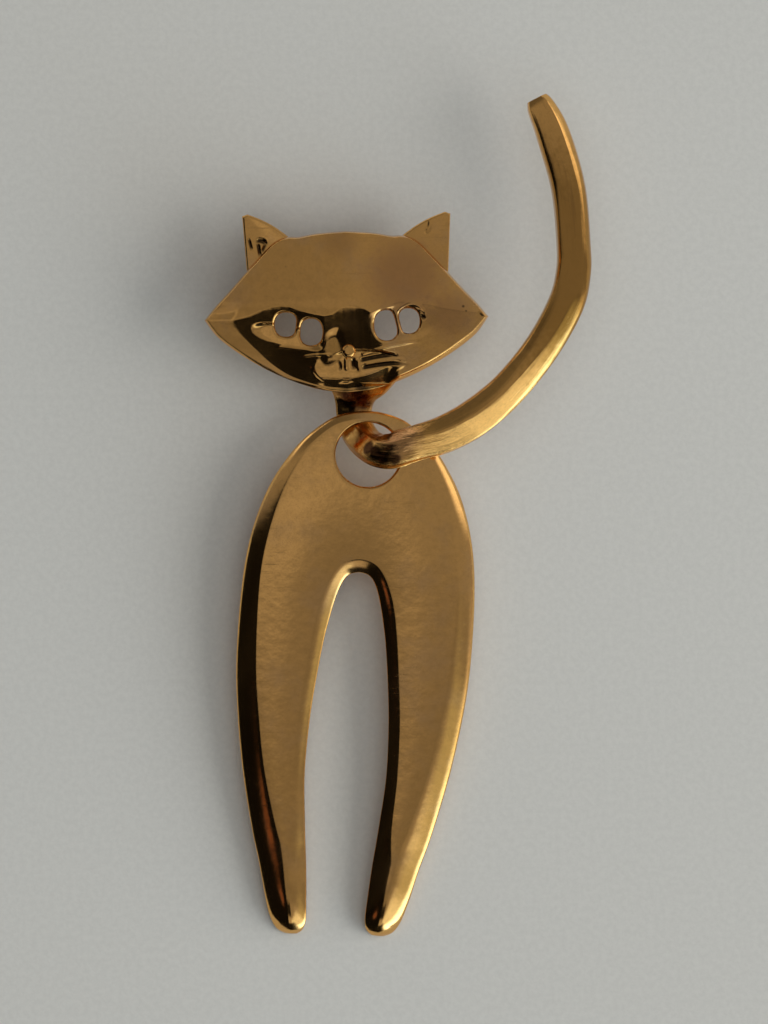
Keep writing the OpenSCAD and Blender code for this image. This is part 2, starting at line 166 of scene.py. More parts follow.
# Halves of each eye's opening: middle with the face's shares, width and height as shares of
# the eye's width; then the bar between them, with its lean in degrees. Right eye first.
EYES = [
    (((0.28, -0.048, 1.02, 1.28), (0.438, -0.022, 0.92, 1.06)), (0.362, -0.035, 14)),
    (((0.25, -0.082, 0.97, 1.13), (0.425, -0.034, 0.97, 1.02)), (0.342, -0.051, 10)),
]

# Each half of an opening as eye, half, and 1 on the right side or -1 on the left
EYE_HALVES = ((0, 0, 1), (0, 1, 1), (1, 0, -1), (1, 1, -1))

# Points round an opening, how square it is (2 is an ellipse), how sharply the bar cuts it off, and
# the rounding of its edge in millimetres
EYE_STEPS = 96
EYE_POWER = 2.3
BAR_SHARPNESS = 9.0
EYE_ROUNDING = 0.32

# Middle of the nose button, with the face's shares, and its lift in millimetres
NOSE_PLACE = (0.012, -0.204)
NOSE_LIFT = 0.1

# Top of the brooch pin's bar with its gap, in millimetres, and the share of the hollow there
PIN_TOP = 4.5
PIN_SHARE = 0.0526

# The face folds down below this line: x and y in millimetres from its middle
BROW_FOLD = np.array([
    (-15, -0.6), (-12.1, -0.1), (-10.4, 0.25), (-9.1, 0.86), (-8, 1.25), (-7, 1.38), (-6.1, 1.3),
    (-5.1, 0.85), (-3.4, 0.4), (-2.35, 0.2), (-1.5, 0.35), (-0.43, 1.15), (0.3, 1.32), (1, 1.3),
    (1.9, 0.95), (2.6, 0.5), (3.6, 0.9), (6, 1.4), (8.6, 1.3), (12, 0.7), (15, 0.3),
])
BROW_TOP = 1.0
FOLD_SLOPE = 0.185
FOLD_ROUNDING = 0.05
# Steps to the sides over which the fold is evened out further down, and how soon it is
CALM_STEPS = (-1.8, -0.9, 0, 0.9, 1.8)
CALM_DEPTH = 1.1
# The ridge of the low roof: its x and lean, the slopes to its left and right, its rounding, and
# how much wider that gets between two heights above the middle
RIDGE_X = 2.6
RIDGE_LEAN = 0.3
SIDE_SLOPES = (0.1, 0.12)
RIDGE_ROUNDING = 0.3
RIDGE_WIDENING = (1.9, 0.4, 2.2)
# The flat brim: its share on the right and on the left, where it changes from one to the other
# in x, and where it fades out in y
BRIM_SHARES = (0.05, 0.2)
BRIM_CHANGE = (-5.5, -13)
BRIM_FADE = (1.9, 0.7)
# The turned-down edge: power of its curve, and the y and x over which it widens from half its
# width to the whole
EDGE_POWER = 1.5
EDGE_WIDENING = ((0.5, -2.5), (0, 6))
# Width over which the relief fades in from the outline
RELIEF_FADE = 0.8
# Flat fields: middle, half sizes, turn in degrees, height above the rim, its slopes to the
# right and to the top, softness of the edge; and the two powers of their outline
FIELDS = [
    (-6.1, -1.9, 3.7, 1.15, -15, 0.74, 0.05, 0.05, 0.13),
    (6.0, -0.3, 3.2, 1.9, 8, 1.72, -0.1, 0.1, 0.3),
    (1.2, -5.0, 4.8, 1.55, 3, 0.98, 0.05, 0.07, 0.09),
    (-1.7, -5.3, 1.9, 1.6, 0, 0.814, 0.05, 0.07, 0.1),
    (-1.55, -3.0, 0.95, 1.55, -20, 1.2, 0.03, 0.11, 0.42),
]
FIELD_POWERS = (1.7, 2)
# Mouth lines and whiskers: ends, how far the middle bows up, height (a cut is below 0) and
# half width, in millimetres
MARKS = [
    (1.6, -3.85, 8.0, -2.55, 0.15, 0.07, 0.12), (1.4, -4.5, 5.5, -3.9, 0.1, -0.14, 0.2),
    (1.6, -5.3, 6.6, -4.9, 0.15, -0.14, 0.18), (1.9, -4.95, 6.2, -4.4, 0.1, 0.05, 0.14),
    (-7.3, -2.95, -3.2, -3.4, 0.0, 0.08, 0.1), (-4.6, -4.0, -1.6, -3.9, 0.1, 0.07, 0.1),
    (-0.1, -4.3, -0.1, -5.5, 0.0, 0.1, 0.13), (0.62, -4.35, 0.68, -5.4, 0.0, -0.22, 0.16),
    (1.2, -4.5, 1.25, -5.6, 0.0, 0.06, 0.13), (-0.9, -4.6, -0.75, -5.5, 0.1, -0.08, 0.1),
    (5.5, 0.7, 8.6, 0.4, 0.85, 0.13, 0.2), (2.95, -0.5, 5.15, 1.3, 0.35, 0.12, 0.2),
    (7.9, 0.3, 8.3, -0.2, 0.0, -0.16, 0.16),
]
# Hair lines in the ears, in the same columns
EAR_MARKS = [
    (-10.3, 8.6, -10.0, 7.4, 0, -0.1, 0.13), (-9.5, 8.45, -8.4, 8.1, 0.1, -0.12, 0.22),
    (-9.35, 8.1, -9.1, 6.7, 0, -0.1, 0.16), (-8.6, 8.0, -8.9, 7.2, 0, -0.08, 0.12),
    (9.1, 10.4, 8.6, 9.0, 0.15, 0.06, 0.22),
]
# Slope down to the chin: left and right ends, then its lower and upper edge as distances in
# from the outline, and the height of both; the fading at its ends and the y at its top
CHIN_SLOPE = (-3.4, 5.6, 0.42, 1.6, 0.1, 0.95)
CHIN_FADES = (1.5, 1.8)
CHIN_TOP = (-4, -4.6)

# Grid of the face: steps round it, rows of its back, of its turned-down edge and of its front
FACE_TURNS = 384
FACE_ROWS = (22, 24, 70)
# Reach of the edge's rows in from the outline, how they crowd outwards, and where the front's
# own rows start, as shares of the outline
EDGE_REACH = 0.1
EDGE_CROWDING = 1.6
FRONT_START = 0.893
# Steps up the rim's wall: share of the outline, share of the rim's thickness
RIM_STEPS = [(0.965, 0), (1.0, 0), (1.0, 0.3), (1.0, 0.6)]
# Box of the features, where the grid is twice as fine: left, right, low and high
FEATURE_BOX = (-9.2, 9.2, -6.4, 2.2)
# Grid of an ear, of the sweep and of the body plate: steps round the section, steps along
EAR_GRID = (120, 64)
SWEEP_GRID = (96, 420)
PLATE_GRID = (120, 340)

# Neck, curl and tail from the hang point: x and y (as shares of hook run and neck length, of
# hook run, and of reach and rise), height from neck to tail, width, thickness, roll in degrees
NECK = [
    (-0.8, 1.3, 0.6, 2.25, 0.9, 0), (-0.88, 1.12, 0.36, 1.85, 0.95, 0), (-0.97, 0.95, 0.12, 1.32, 1, 0),
    (-1.03, 0.79, 0.01, 1.08, 1, 0), (-1.05, 0.62, 0, 1, 1, 0), (-0.98, 0.46, 0, 0.98, 1, 2),
]
CURL = [
    (-0.72, 1.06, 0.07, 0.93, 0.88, 6), (-0.28, 0.46, 0.34, 0.9, 0.86, 18),
    (0.2, 0.04, 0.68, 0.9, 0.88, 26), (0.8, -0.24, 0.96, 0.93, 0.94, 28), (1.66, -0.3, 1.1, 0.95, 1, 24),
]
TAIL = [
    (0.183, 0, 1.13, 0.95, 1, 17), (0.252, 0.012, 1.12, 0.96, 1, 10), (0.377, 0.034, 1.1, 1.02, 1, 4),
    (0.522, 0.08, 1.1, 1.05, 1, 1), (0.683, 0.16, 1.14, 1, 1, 0), (0.844, 0.277, 1.14, 0.98, 1, 0),
    (0.961, 0.4, 1.08, 1, 1, 0), (1, 0.49, 1.02, 0.97, 1, 0), (1.002, 0.578, 0.98, 0.94, 1, 0),
    (0.977, 0.738, 0.92, 0.95, 1, 0), (0.904, 0.89, 0.88, 0.93, 0.95, 0),
    (0.844, 0.97, 0.86, 0.78, 0.85, 0), (0.822, 0.996, 0.85, 0.58, 0.6, 0),
]
# Sections of the sweep, as shares of half its width and of its thickness, from the right side
# on: a ridged one for neck, curl and lower tail, a flat-topped one for the upper tail
RIDGED = [
    (1, -0.28), (0.985, -0.06), (0.94, 0.0), (0.84, 0.07), (0.5, 0.25), (0.2, 0.395), (-0.02, 0.482),
    (-0.12, 0.5), (-0.24, 0.485), (-0.5, 0.4), (-0.8, 0.27), (-0.9, 0.2), (-0.97, 0.05), (-1, -0.2),
    (-0.96, -0.42), (-0.84, -0.5), (0.84, -0.5), (0.96, -0.43),
]
FLAT_TOPPED = [
    (1, -0.26), (0.985, -0.08), (0.94, 0.08), (0.86, 0.2), (0.72, 0.34), (0.56, 0.45), (0.46, 0.488),
    (0.3, 0.5), (-0.2, 0.475), (-0.7, 0.43), (-0.82, 0.38), (-0.93, 0.2), (-1, -0.2), (-0.96, -0.42),
    (-0.84, -0.5), (0, -0.5), (0.84, -0.5), (0.96, -0.43),
]
# Where the section changes along the sweep, and the rounding of the tail's end
SECTION_CHANGE = (0.6, 0.85)
END_ROUNDING = 0.35

# Half of the body plate from the top middle to the paw: x and y of the outer edge and of the
# slot's edge, depth of the rim, widths of the two rolls, height of the sheet, all as shares
PLATE = [
    (0, 0, 0, 0, 0, 0.45, 1.05, 1), (0.191, 0.006, 0.12, 0.002, 0, 0.45, 1.05, 1),
    (0.35, 0.0215, 0.22, 0.006, 0, 0.46, 1.05, 1), (0.554, 0.061, 0.31, 0.014, 0.04, 0.55, 1.05, 1),
    (0.713, 0.11, 0.39, 0.028, 0.25, 0.75, 1.05, 1), (0.829, 0.16, 0.46, 0.046, 0.6, 0.92, 1.05, 1),
    (0.924, 0.226, 0.54, 0.074, 0.9, 1, 1.05, 1), (0.978, 0.297, 0.627, 0.115, 1, 1, 1.05, 1),
    (1, 0.386, 0.76, 0.192, 1, 1.05, 0.95, 1), (0.996, 0.492, 0.887, 0.307, 1, 1.12, 0.9, 1),
    (0.959, 0.581, 0.972, 0.417, 1, 1.18, 0.9, 1), (0.884, 0.688, 1, 0.56, 1, 1.22, 0.9, 1),
    (0.776, 0.795, 0.9, 0.703, 1, 1.35, 1.05, 1), (0.686, 0.866, 0.81, 0.806, 0.98, 1.5, 1.5, 1),
    (0.62, 0.925, 0.75, 0.895, 0.9, 1.5, 1.6, 0.98), (0.562, 0.967, 0.725, 0.954, 0.85, 1.5, 1.6, 0.86),
    (0.5, 0.99, 0.785, 0.983, 0.85, 1.5, 1.6, 0.62), (0.425, 0.999, 0.92, 0.997, 0.85, 1.5, 1.6, 0.34),
]
# Widest that the flank's and the slot's roll may be, as shares of the section's width, their
# depths as shares of the roll depth, and the deepest as a share of the rim
ROLL_LIMITS = (0.52, 0.4)
ROLL_DEPTHS = (1, 0.65)
DEEPEST_ROLL = 0.85
# How square the rolls are: 2 is a plain ellipse, 1 a bevel
ROLL_POWER = 1.3
# Depth of a roll for its width, both as shares of the flank roll's, until it is full
ROLL_GAIN = 1.1
# Thickest wall as a share of the section's width, and the least depth of the hollow and width of
# its bends, in millimetres
WALL_SHARE = 0.25
LEAST_HOLLOW = 0.05
LEAST_BEND = 0.1
# Shares of the section's steps where each stretch ends: flank wall, flank roll, sheet, slot
# roll, slot wall, then back along the hollow from the slot to the middle and on to the flank
STRETCHES = (0, 0.03, 0.22, 0.48, 0.67, 0.7, 0.85, 1)
# Rounding of the hang hole's front edge, the ring inside and outside the edge where the mesh is
# finer, and the height below which it isn't touched, in millimetres
HOLE_ROUNDING = 0.28
HOLE_RING = (0.3, 0.75)
HOLE_FRONT = -0.3

# Wiping scratches: turn in degrees, scale, shift of the pattern, strength
SCRATCHES = [(24, 1.0, 2.0, 0.6), (-38, 1.3, 9.0, 0.5), (80, 0.8, 5.0, 0.5)]


def size(name, default, low, high, text, unit="millimetres"):
    """A length or an angle for a property group."""
    words = f"{text}, in {unit}"
    return FloatProperty(name=name, description=words, default=default, min=low, max=high, precision=2)


def hue(name, default, text):
    """A colour for a property group."""
    return FloatVectorProperty(name=name, description=text, subtype="COLOR", default=default, min=0, max=1)


class BroochFace(bpy.types.PropertyGroup):
    """Sizes of the face, its eyes and its ears"""
    width: size("Width", 30.3, 28, 33, "Cheek tip to cheek tip")
    height: size("Height", 17.3, 16, 18.5, "Chin to crown")
    rim: size("Rim thickness", 1.2, 1, 1.4, "Thickness of the casting at its rim")
    rise: size("Rise", 2.4, 2.1, 2.8, "Rise of the middle above the rim")
    hollow: size("Hollow", 2, 1.6, 2.2, "Depth of the hollow behind the face")
    lean: size("Lean", 0.8, -3, 3, "Lean of the face from upright", "degrees")
    ear_rise: size("Ear rise", 1.9, 1.5, 2.6, "Height of the ears above the crown")
    ear_thickness: size("Ear thickness", 1.3, 1.1, 1.6, "Thickness of the ears")
    eye: size("Eye half width", 2.5, 2.2, 2.7, "Width of each half of an eye's opening")
    pupil: size("Pupil bar", 0.45, 0.4, 0.6, "Width of the bar that stands in each eye")
    nose: size("Nose radius", 0.74, 0.6, 0.9, "Radius of the nose ball")
    edge: size("Turned edge", 0.55, 0.4, 1.2, "Width of the turned-down edge round the face")


class BroochTail(bpy.types.PropertyGroup):
    """Sizes of neck, curl and tail"""
    neck_length: size("Neck length", 5.6, 5.3, 6.5, "Hang point to chin")
    neck_width: size("Neck width", 3.8, 3.4, 4, "Width of the neck")
    neck_thickness: size("Neck thickness", 1.9, 1.7, 2.1, "Thickness of the neck")
    neck_lift: size("Neck lift", 2.1, 1.9, 2.6, "Height of the neck's back above the floor")
    hook_run: size("Hook run", 1.5, 1.3, 1.7, "Step from the hang point to the neck")
    chin_shift: size("Chin shift", 0.85, 0, 1.2, "Step from the neck to the middle of the face")
    width: size("Tail width", 3.9, 3.6, 4.2, "Width of the tail")
    thickness: size("Tail thickness", 2.2, 2, 2.4, "Thickness of the tail")
    reach: size("Reach", 21.8, 20, 24, "Reach of the tail's middle line to the right")
    rise: size("Rise", 37.1, 34, 41, "Rise of the tail's tip above the hang point")


class BroochPlate(bpy.types.PropertyGroup):
    """Sizes of the body plate"""
    length: size("Length", 56.3, 54, 60, "Top edge to paws")
    width: size("Width", 25.1, 23.5, 27, "Width across the flanks")
    sheet: size("Sheet", 0.9, 0.7, 1, "Thickness of the sheet")
    flank_depth: size("Flank depth", 2.4, 2.1, 2.7, "Depth of the rolled rim along the flanks")
    top_depth: size("Top depth", 1.2, 1.1, 1.4, "Depth of the rim over the hang hole")
    flank_roll: size("Flank roll", 2, 1.6, 2.4, "Width of the roll along the flanks")
    slot_length: size("Slot length", 39, 37, 40, "Length of the slot between the legs")
    slot_width: size("Slot width", 8.7, 7.5, 9.5, "Widest width of the slot")
    roll_depth: size("Roll depth", 1.2, 0.8, 1.8, "Depth of the curve of the flank roll")
    slot_depth: size("Slot depth", 1.8, 1.5, 2.1, "Depth of the rolled rim along the slot")
    slot_roll: size("Slot roll", 1.4, 1.1, 1.7, "Width of the roll along the slot")
    crown: size("Crown", 0.12, 0.05, 0.4, "Rise of the sheet between its rolls")
    hole: size("Hang hole radius", 3.45, 3.35, 3.7, "Radius of the hang hole")
    web: size("Web", 1.2, 1.1, 1.6, "Metal between the hang hole and the top edge")
    leg_extra: size("Left leg extra", 0.4, 0, 0.6, "Extra length of the left leg")
    turn: size("Turn", -4, -8, 8, "Turn of the plate from straight down", "degrees")
    hang_gap: size("Hook gap", 0.35, 0.3, 0.5, "Clearance between plate and hook")
    hang_rise: size("Hang rise", 1.05, 0.9, 1.2, "Hang point above the middle of the hole")


class BroochFinish(bpy.types.PropertyGroup):
    """Colours and gloss"""
    cast: hue("Cast gold", (0.86, 0.465, 0.14), "Colour of the cast head and tail")
    sheet: hue("Sheet gold", (0.88, 0.485, 0.155), "Colour of the body plate")
    haze: hue("Haze", (0.6, 0.39, 0.24), "Brown-grey bloom on worn plating")
    pin: hue("Pin metal", (0.66, 0.6, 0.5), "Colour of the brooch pin")
    polish: FloatProperty(
        name="Roughness", description="Roughness of the polished gold", default=0.13, min=0.02, max=0.5)
    paper: hue("Paper", (0.742, 0.735, 0.698), "Colour of the paper under the brooch")


def through(a, b, c, d, f):
    """Points at a share f of the way from b to c, on the smooth curve through all four."""
    return (2 * b + (c - a) * f + (2 * a - 5 * b + 4 * c - d) * f**2 + (3 * b - a - 3 * c + d) * f**3) / 2


def smooth_rows(rows, t):
    """Rows of a table at each t from 0 to 1, on a smooth curve through its rows."""
    rows = np.asarray(rows, float)
    last = len(rows) - 1
    s = np.minimum(np.asarray(t) * last, last - 1e-5)
    i = s.astype(int)
    return through(*(rows[np.clip(i + k, 0, last)] for k in (-1, 0, 1, 2)), (s - i)[:, None])


def closed_curve(points, count):
    """A smooth closed curve through points, as count points evenly spread over its spans."""
    points = np.asarray(points, float)
    n = len(points)
    s = np.arange(count) * n / count
    i = s.astype(int)
    return through(*(points[(i + k) % n] for k in (-1, 0, 1, 2)), (s - i)[:, None])


def ease(low, high, x):
    """0 below low, 1 above high, and a smooth step between."""
    t = np.clip((x - low) / (high - low), 0, 1)
    return t * t * (3 - 2 * t)


def soft(value, width):
    """The value where it is above 0, else 0, with the corner rounded over a width."""
    return (value + np.sqrt(value**2 + width**2)) / 2


def rounding(inside, radius):
    """Drop of a quarter-round edge at a distance inside it."""
    d = np.clip(radius - inside, 0, radius)
    return radius - np.sqrt(np.maximum(radius**2 - d**2, 0))


def stroke(x, y, mark):
    """Distance from a mark's bowed line, in its half widths, and its fading towards both ends."""
    x0, y0, x1, y1, bow, _, width = mark
    length = math.hypot(x1 - x0, y1 - y0)
    along = ((x - x0) * (x1 - x0) + (y - y0) * (y1 - y0)) / length
    across = ((x - x0) * (y1 - y0) - (y - y0) * (x1 - x0)) / length
    across = across + bow * np.sin(math.pi * np.clip(along / length, 0, 1))
    return across / width, ease(-0.15, 0.25, along) * ease(0.15, -0.35 * length, along - length)


def engraved(z, x, y, marks):
    """Heights z with the ridges and cuts of the marks added."""
    for mark in marks:
        across, fade = stroke(x, y, mark)
        z = z + mark[5] * fade * np.exp(-(across**2))
    return z


def places(part):
    """Heights and places that follow from the sizes, as in the part's source."""
    face, tail, plate = part.brooch_face, part.brooch_tail, part.brooch_plate
    p = {}
    p["hole_drop"] = plate.hole + plate.web
    p["neck_z"] = tail.neck_lift + tail.neck_thickness / 2
    paw_depth = plate.top_depth + PLATE[-1][4] * (plate.flank_depth - plate.top_depth)
    rim_z = tail.neck_lift + tail.neck_thickness + plate.hang_gap + plate.top_depth
    p["tilt"] = math.atan((rim_z - paw_depth) / plate.length)
    p["plate_z"] = rim_z - (p["hole_drop"] - plate.hang_rise) * math.tan(p["tilt"])
    p["tail_z"] = rim_z + plate.hang_gap + tail.thickness / 2
    p["head"] = (-tail.hook_run - tail.chin_shift, tail.neck_length + CHIN_SHARE * face.height)
    left = p["head"][0] - face.width / 2
    right = tail.reach + TAIL[7][3] * tail.width / 2
    up = tail.rise + 0.09 * tail.width
    down = plate.hang_rise + plate.length - p["hole_drop"]
    p["hang"] = (-(left + right) / 2, -(up - down) / 2)
    return p


class Face:
    """The face's outline and heights, from its middle, in millimetres."""

    def __init__(self, part):
        self.s = part.brooch_face
        brow = smooth_rows(BROW_LINE, np.linspace(0, 1, OUTLINE_STEPS[0]))
        jaw = smooth_rows(JAW_LINE, np.linspace(0, 1, OUTLINE_STEPS[1]))
        half = np.vstack([brow, jaw[1:]])
        right = half * (self.s.width / 2, self.s.height)
        left = right[::-1][1:-1] * (-1, 1)
        self.edge = np.vstack([right, left])
        self.angle = np.unwrap(np.arctan2(self.edge[:, 0], self.edge[:, 1]))
        self.radius = np.hypot(*self.edge.T)

    def place(self, share):
        """A place given with the face's shares, in millimetres."""
        return np.array(share[:2]) * (self.s.width / 2, self.s.height)

    def out(self, x, y):
        """How far out each point lies, as a share of the outline, and the outline's distance
        square to itself."""
        a = np.mod(np.arctan2(x, y), 2 * math.pi)
        r = np.interp(a, self.angle, self.radius, period=2 * math.pi)
        slopes = np.gradient(self.radius, self.angle)
        slant = np.interp(a, self.angle, slopes, period=2 * math.pi)
        return np.hypot(x, y) / r, r * np.cos(np.arctan2(slant, r))

    def form(self, x, y):
        """The face without its features, from 0 at the rim to 1: a low roof that folds down below
        the brow to a flat brim."""
        share = self.out(x, y)[0]
        brim = BRIM_SHARES[0] + (BRIM_SHARES[1] - BRIM_SHARES[0]) * ease(*BRIM_CHANGE, x)
        keep = np.minimum((1 - brim) / np.maximum(share, 0.01), 1)
        keep = 1 - (1 - keep) * ease(*BRIM_FADE, y)
        x, y = x * keep, y * keep
        more, start, full = RIDGE_WIDENING
        width = RIDGE_ROUNDING + more * ease(start, full, y)
        off = x - RIDGE_X - RIDGE_LEAN * np.maximum(BROW_TOP - y, 0)
        ridge = (np.hypot(off, width) - RIDGE_ROUNDING) * np.where(off < 0, *SIDE_SLOPES)
        brow = np.interp(x, *BROW_FOLD.T)
        calm = np.mean([np.interp(x + step, *BROW_FOLD.T) for step in CALM_STEPS], axis=0)
        below = soft(brow - y, FOLD_ROUNDING)
        below = below + (calm - brow) * (1 - np.exp(-below / CALM_DEPTH))
        return np.maximum(1 - (ridge + FOLD_SLOPE * below) / self.s.rise, 0)

    def turn_down(self, inside, width):
        """Share of the height that the turned-down edge keeps at a distance inside it."""
        t = np.clip(1 - inside / width, 0, 1)
        return np.maximum(1 - t**EDGE_POWER, 0) ** (1 / EDGE_POWER)

    def back(self, x, y):
        """Height of the hollow back, which is flat at its foot."""
        share = np.minimum(self.out(x, y)[0] / RIM_SHARE, 1)
        return self.s.hollow * self.form(x, y) * (1 - share**FOOT_POWER)

    def front(self, x, y):
        """Height of the front, with its features, its slope to the chin and its turned-down edge."""
        share, span = self.out(x, y)
        inside = (1 - share) * span
        z = self.s.rise * self.form(x, y)
        z = np.maximum(self.fields(x, y, z) + self.relief(x, y) * ease(0, RELIEF_FADE, inside), 0)
        left, right, low, high, foot, top = CHIN_SLOPE
        limit = foot + (top - foot) * np.clip((inside - low) / (high - low), 0, 9)
        ends = ease(left, left + CHIN_FADES[0], x) * ease(right, right - CHIN_FADES[1], x)
        z = z + (np.minimum(z, limit) - z) * ends * ease(*CHIN_TOP, y)
        below, beside = EDGE_WIDENING
        width = self.s.edge * (0.5 + 0.5 * ease(*below, y) * ease(*beside, x))
        return self.s.rim + z * self.turn_down(inside, width)

    def fields(self, x, y, z):
        """The slope below the brow with its flat fields round eyes, nose and mouth."""
        for cx, cy, rx, ry, turn, level, to_right, to_top, blur in FIELDS:
            a = math.radians(turn)
            u = (x - cx) * math.cos(a) + (y - cy) * math.sin(a)
            v = (y - cy) * math.cos(a) - (x - cx) * math.sin(a)
            inside = 1 - (np.abs(u / rx) ** FIELD_POWERS[0] + np.abs(v / ry) ** FIELD_POWERS[1]) ** 0.5
            share = ease(-blur, blur, inside)
            z = z * (1 - share) + (level + to_right * (x - cx) + to_top * (y - cy)) * share
        return z

    def relief(self, x, y):
        """Rounded eye edges, mouth lines and whiskers, as a rise above the fields."""
        z = 0
        for index, which, sign in EYE_HALVES:
            beside = np.clip(self.eye_distance(sign * x, y, index, which), 0, 9)
            z = z - rounding(beside, EYE_ROUNDING)
        return engraved(z, x, y, MARKS)

    def grime(self, x, y):
        """Painted shade in the cut lines, from 0 to 1."""
        cut_shade = np.zeros_like(x)
        for mark in MARKS + EAR_MARKS:
            across, fade = stroke(x, y, mark)
            cut_shade = np.maximum(cut_shade, (mark[5] < 0) * fade * ease(1.5, 0.8, np.abs(across)))
        return cut_shade

    def eye_edge(self, index, which):
        """Edge of one half of an eye's opening on the right side, and its middle."""
        halves, bar = EYES[index]
        half = halves[which]
        middle = self.place(half)
        a = np.linspace(0, 2 * math.pi, EYE_STEPS, endpoint=False)
        rx, ry = half[2] * self.s.eye / 2, half[3] * self.s.eye / 2
        radius = np.abs(np.cos(a) / rx) ** EYE_POWER + np.abs(np.sin(a) / ry) ** EYE_POWER
        radius = 1 / radius ** (1 / EYE_POWER)
        lean = math.radians(bar[2])
        normal = np.array([math.cos(lean), math.sin(lean)]) * (1 if which == 0 else -1)
        gap = np.dot(self.place(bar) - middle, normal) - self.s.pupil / 2
        toward = np.cos(a) * normal[0] + np.sin(a) * normal[1]
        limit = np.where(toward > 1e-3, gap / np.maximum(toward, 1e-3), 99)
        radius = (radius**-BAR_SHARPNESS + limit**-BAR_SHARPNESS) ** (-1 / BAR_SHARPNESS)
        return middle, a, radius

    def eye_distance(self, x, y, index, which):
        """Rough distance out from the edge of one half of an eye's opening."""
        middle, a, radius = self.eye_edge(index, which)
        dx, dy = x - middle[0], y - middle[1]
        r = np.interp(np.mod(np.arctan2(dy, dx), 2 * math.pi), a, radius, period=2 * math.pi)
        return np.hypot(dx, dy) - r


def sheet(bm, across, along, place):
    """A grid whose points are moved to place(u, v), with u and v from 0 to 1."""
    made = bmesh.ops.create_grid(bm, x_segments=across, y_segments=along, size=0.5)["verts"]
    u = np.array([v.co.x + 0.5 for v in made])
    w = np.array([v.co.y + 0.5 for v in made])
    for v, co in zip(made, place(u, w)):
        v.co = co


def merge(bm):
    """Makes one point of those that lie together."""
    bmesh.ops.remove_doubles(bm, verts=bm.verts, dist=MERGE)


def points_of(geometry):
    """The points among the parts of a mesh that an operator gives back."""
    return [g for g in geometry if isinstance(g, bmesh.types.BMVert)]


def refine(bm, near):
    """Halves the grid between the points in near, and gives the points inside its squares."""
    edges = [e for e in bm.edges if e.verts[0] in near and e.verts[1] in near]
    made = bmesh.ops.subdivide_edges(bm, edges=edges, cuts=1, use_grid_fill=True)
    return points_of(made["geom_inner"])


def to_metres(bm, matrix):
    """Moves a mesh in millimetres to its place, in metres."""
    bmesh.ops.transform(bm, matrix=Matrix.Scale(MM, 4) @ matrix, verts=bm.verts)


def close_ends(bm):
    """Joins the seam of a rolled-up grid and caps its open ends."""
    merge(bm)
    ends = [e for e in bm.edges if e.is_boundary]
    bmesh.ops.holes_fill(bm, edges=ends, sides=0)


def as_mesh(bm, name):
    """The finished bmesh as a mesh."""
    mesh = bpy.data.meshes.new(name)
    bm.to_mesh(mesh)
    bm.free()
    return mesh


def add_object(name, data):
    """A new object in the scene, for a mesh, a lamp or a camera."""
    made = bpy.data.objects.new(name, data)
    bpy.context.scene.collection.objects.link(made)
    return made


def finish(bm, name, body, nodes, slot, material, matrix):
    """Makes the object, in metres, and says which body it rides on and which nodes it replaces."""
    merge(bm)
    bmesh.ops.dissolve_degenerate(bm, edges=bm.edges, dist=MERGE / 2)
    to_metres(bm, matrix)
    bmesh.ops.recalc_face_normals(bm, faces=bm.faces)
    for face in bm.faces:
        face.smooth = True
    mesh = as_mesh(bm, name)
    piece = add_object(name, mesh)
    mesh.materials.append(material)
    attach(piece, body)
    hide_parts(*nodes)
    return piece


def cut(piece, cutter_mesh):
    """Cuts the closed cutter mesh out of the piece for good."""
    cutter = add_object("cutter", cutter_mesh)
    step = piece.modifiers.new("cut", "BOOLEAN")
    step.operation, step.solver, step.object = "DIFFERENCE", "EXACT", cutter
    graph = bpy.context.evaluated_depsgraph_get()
    cut_mesh = bpy.data.meshes.new_from_object(piece.evaluated_get(graph), depsgraph=graph)
    piece.modifiers.clear()
    old, piece.data = piece.data, cut_mesh
    cut_mesh.name = piece.name
    bpy.data.meshes.remove(old)
    bpy.data.objects.remove(cutter)
    bpy.data.meshes.remove(cutter_mesh)
    if not len(piece.data.polygons):
        raise RuntimeError(f"cutting {piece.name} left nothing of it")


def shade_cuts(piece, face, matrix):
    """Keeps the painted shade of the face's cut lines as an attribute of the piece."""
    back = (Matrix.Scale(MM, 4) @ matrix).inverted()
    spots = np.array([(back @ v.co)[:2] for v in piece.data.vertices])
    cut_shade = piece.data.attributes.new("grime", "FLOAT", "POINT")
    cut_shade.data.foreach_set("value", face.grime(spots[:, 0], spots[:, 1]).astype(np.float32))


def head_matrix(part):
    """Place of the face's middle on the floor, with its lean."""
    p = places(part)
    x, y = p["hang"][0] + p["head"][0], p["hang"][1] + p["head"][1]
    lean = Matrix.Rotation(math.radians(part.brooch_face.lean), 4, "Z")
    return Matrix.Translation((x, y, 0)) @ lean


def nose_mesh(face):
    """The nose: a ball whose top half is a flat-topped button, at its place on the front."""
    bm = bmesh.new()
    radius = face.s.nose
    bmesh.ops.create_uvsphere(bm, u_segments=40, v_segments=24, radius=radius)
    for v in bm.verts:
        if v.co.z > 0:
            out = min(math.hypot(v.co.x, v.co.y) / radius, 1)
            v.co.z = NOSE_RISE * radius * math.sqrt(1 - out**4)
    x, y = face.place(NOSE_PLACE)
    z = float(face.front(np.array([x]), np.array([y]))[0])
    bmesh.ops.translate(bm, vec=(x, y, z + NOSE_LIFT), verts=bm.verts)
    return bm


def face_height(part):
    """Height of the face's lower rim, where the pin's bar just clears the hollow back."""
    return PIN_TOP - part.brooch_face.hollow * PIN_SHARE


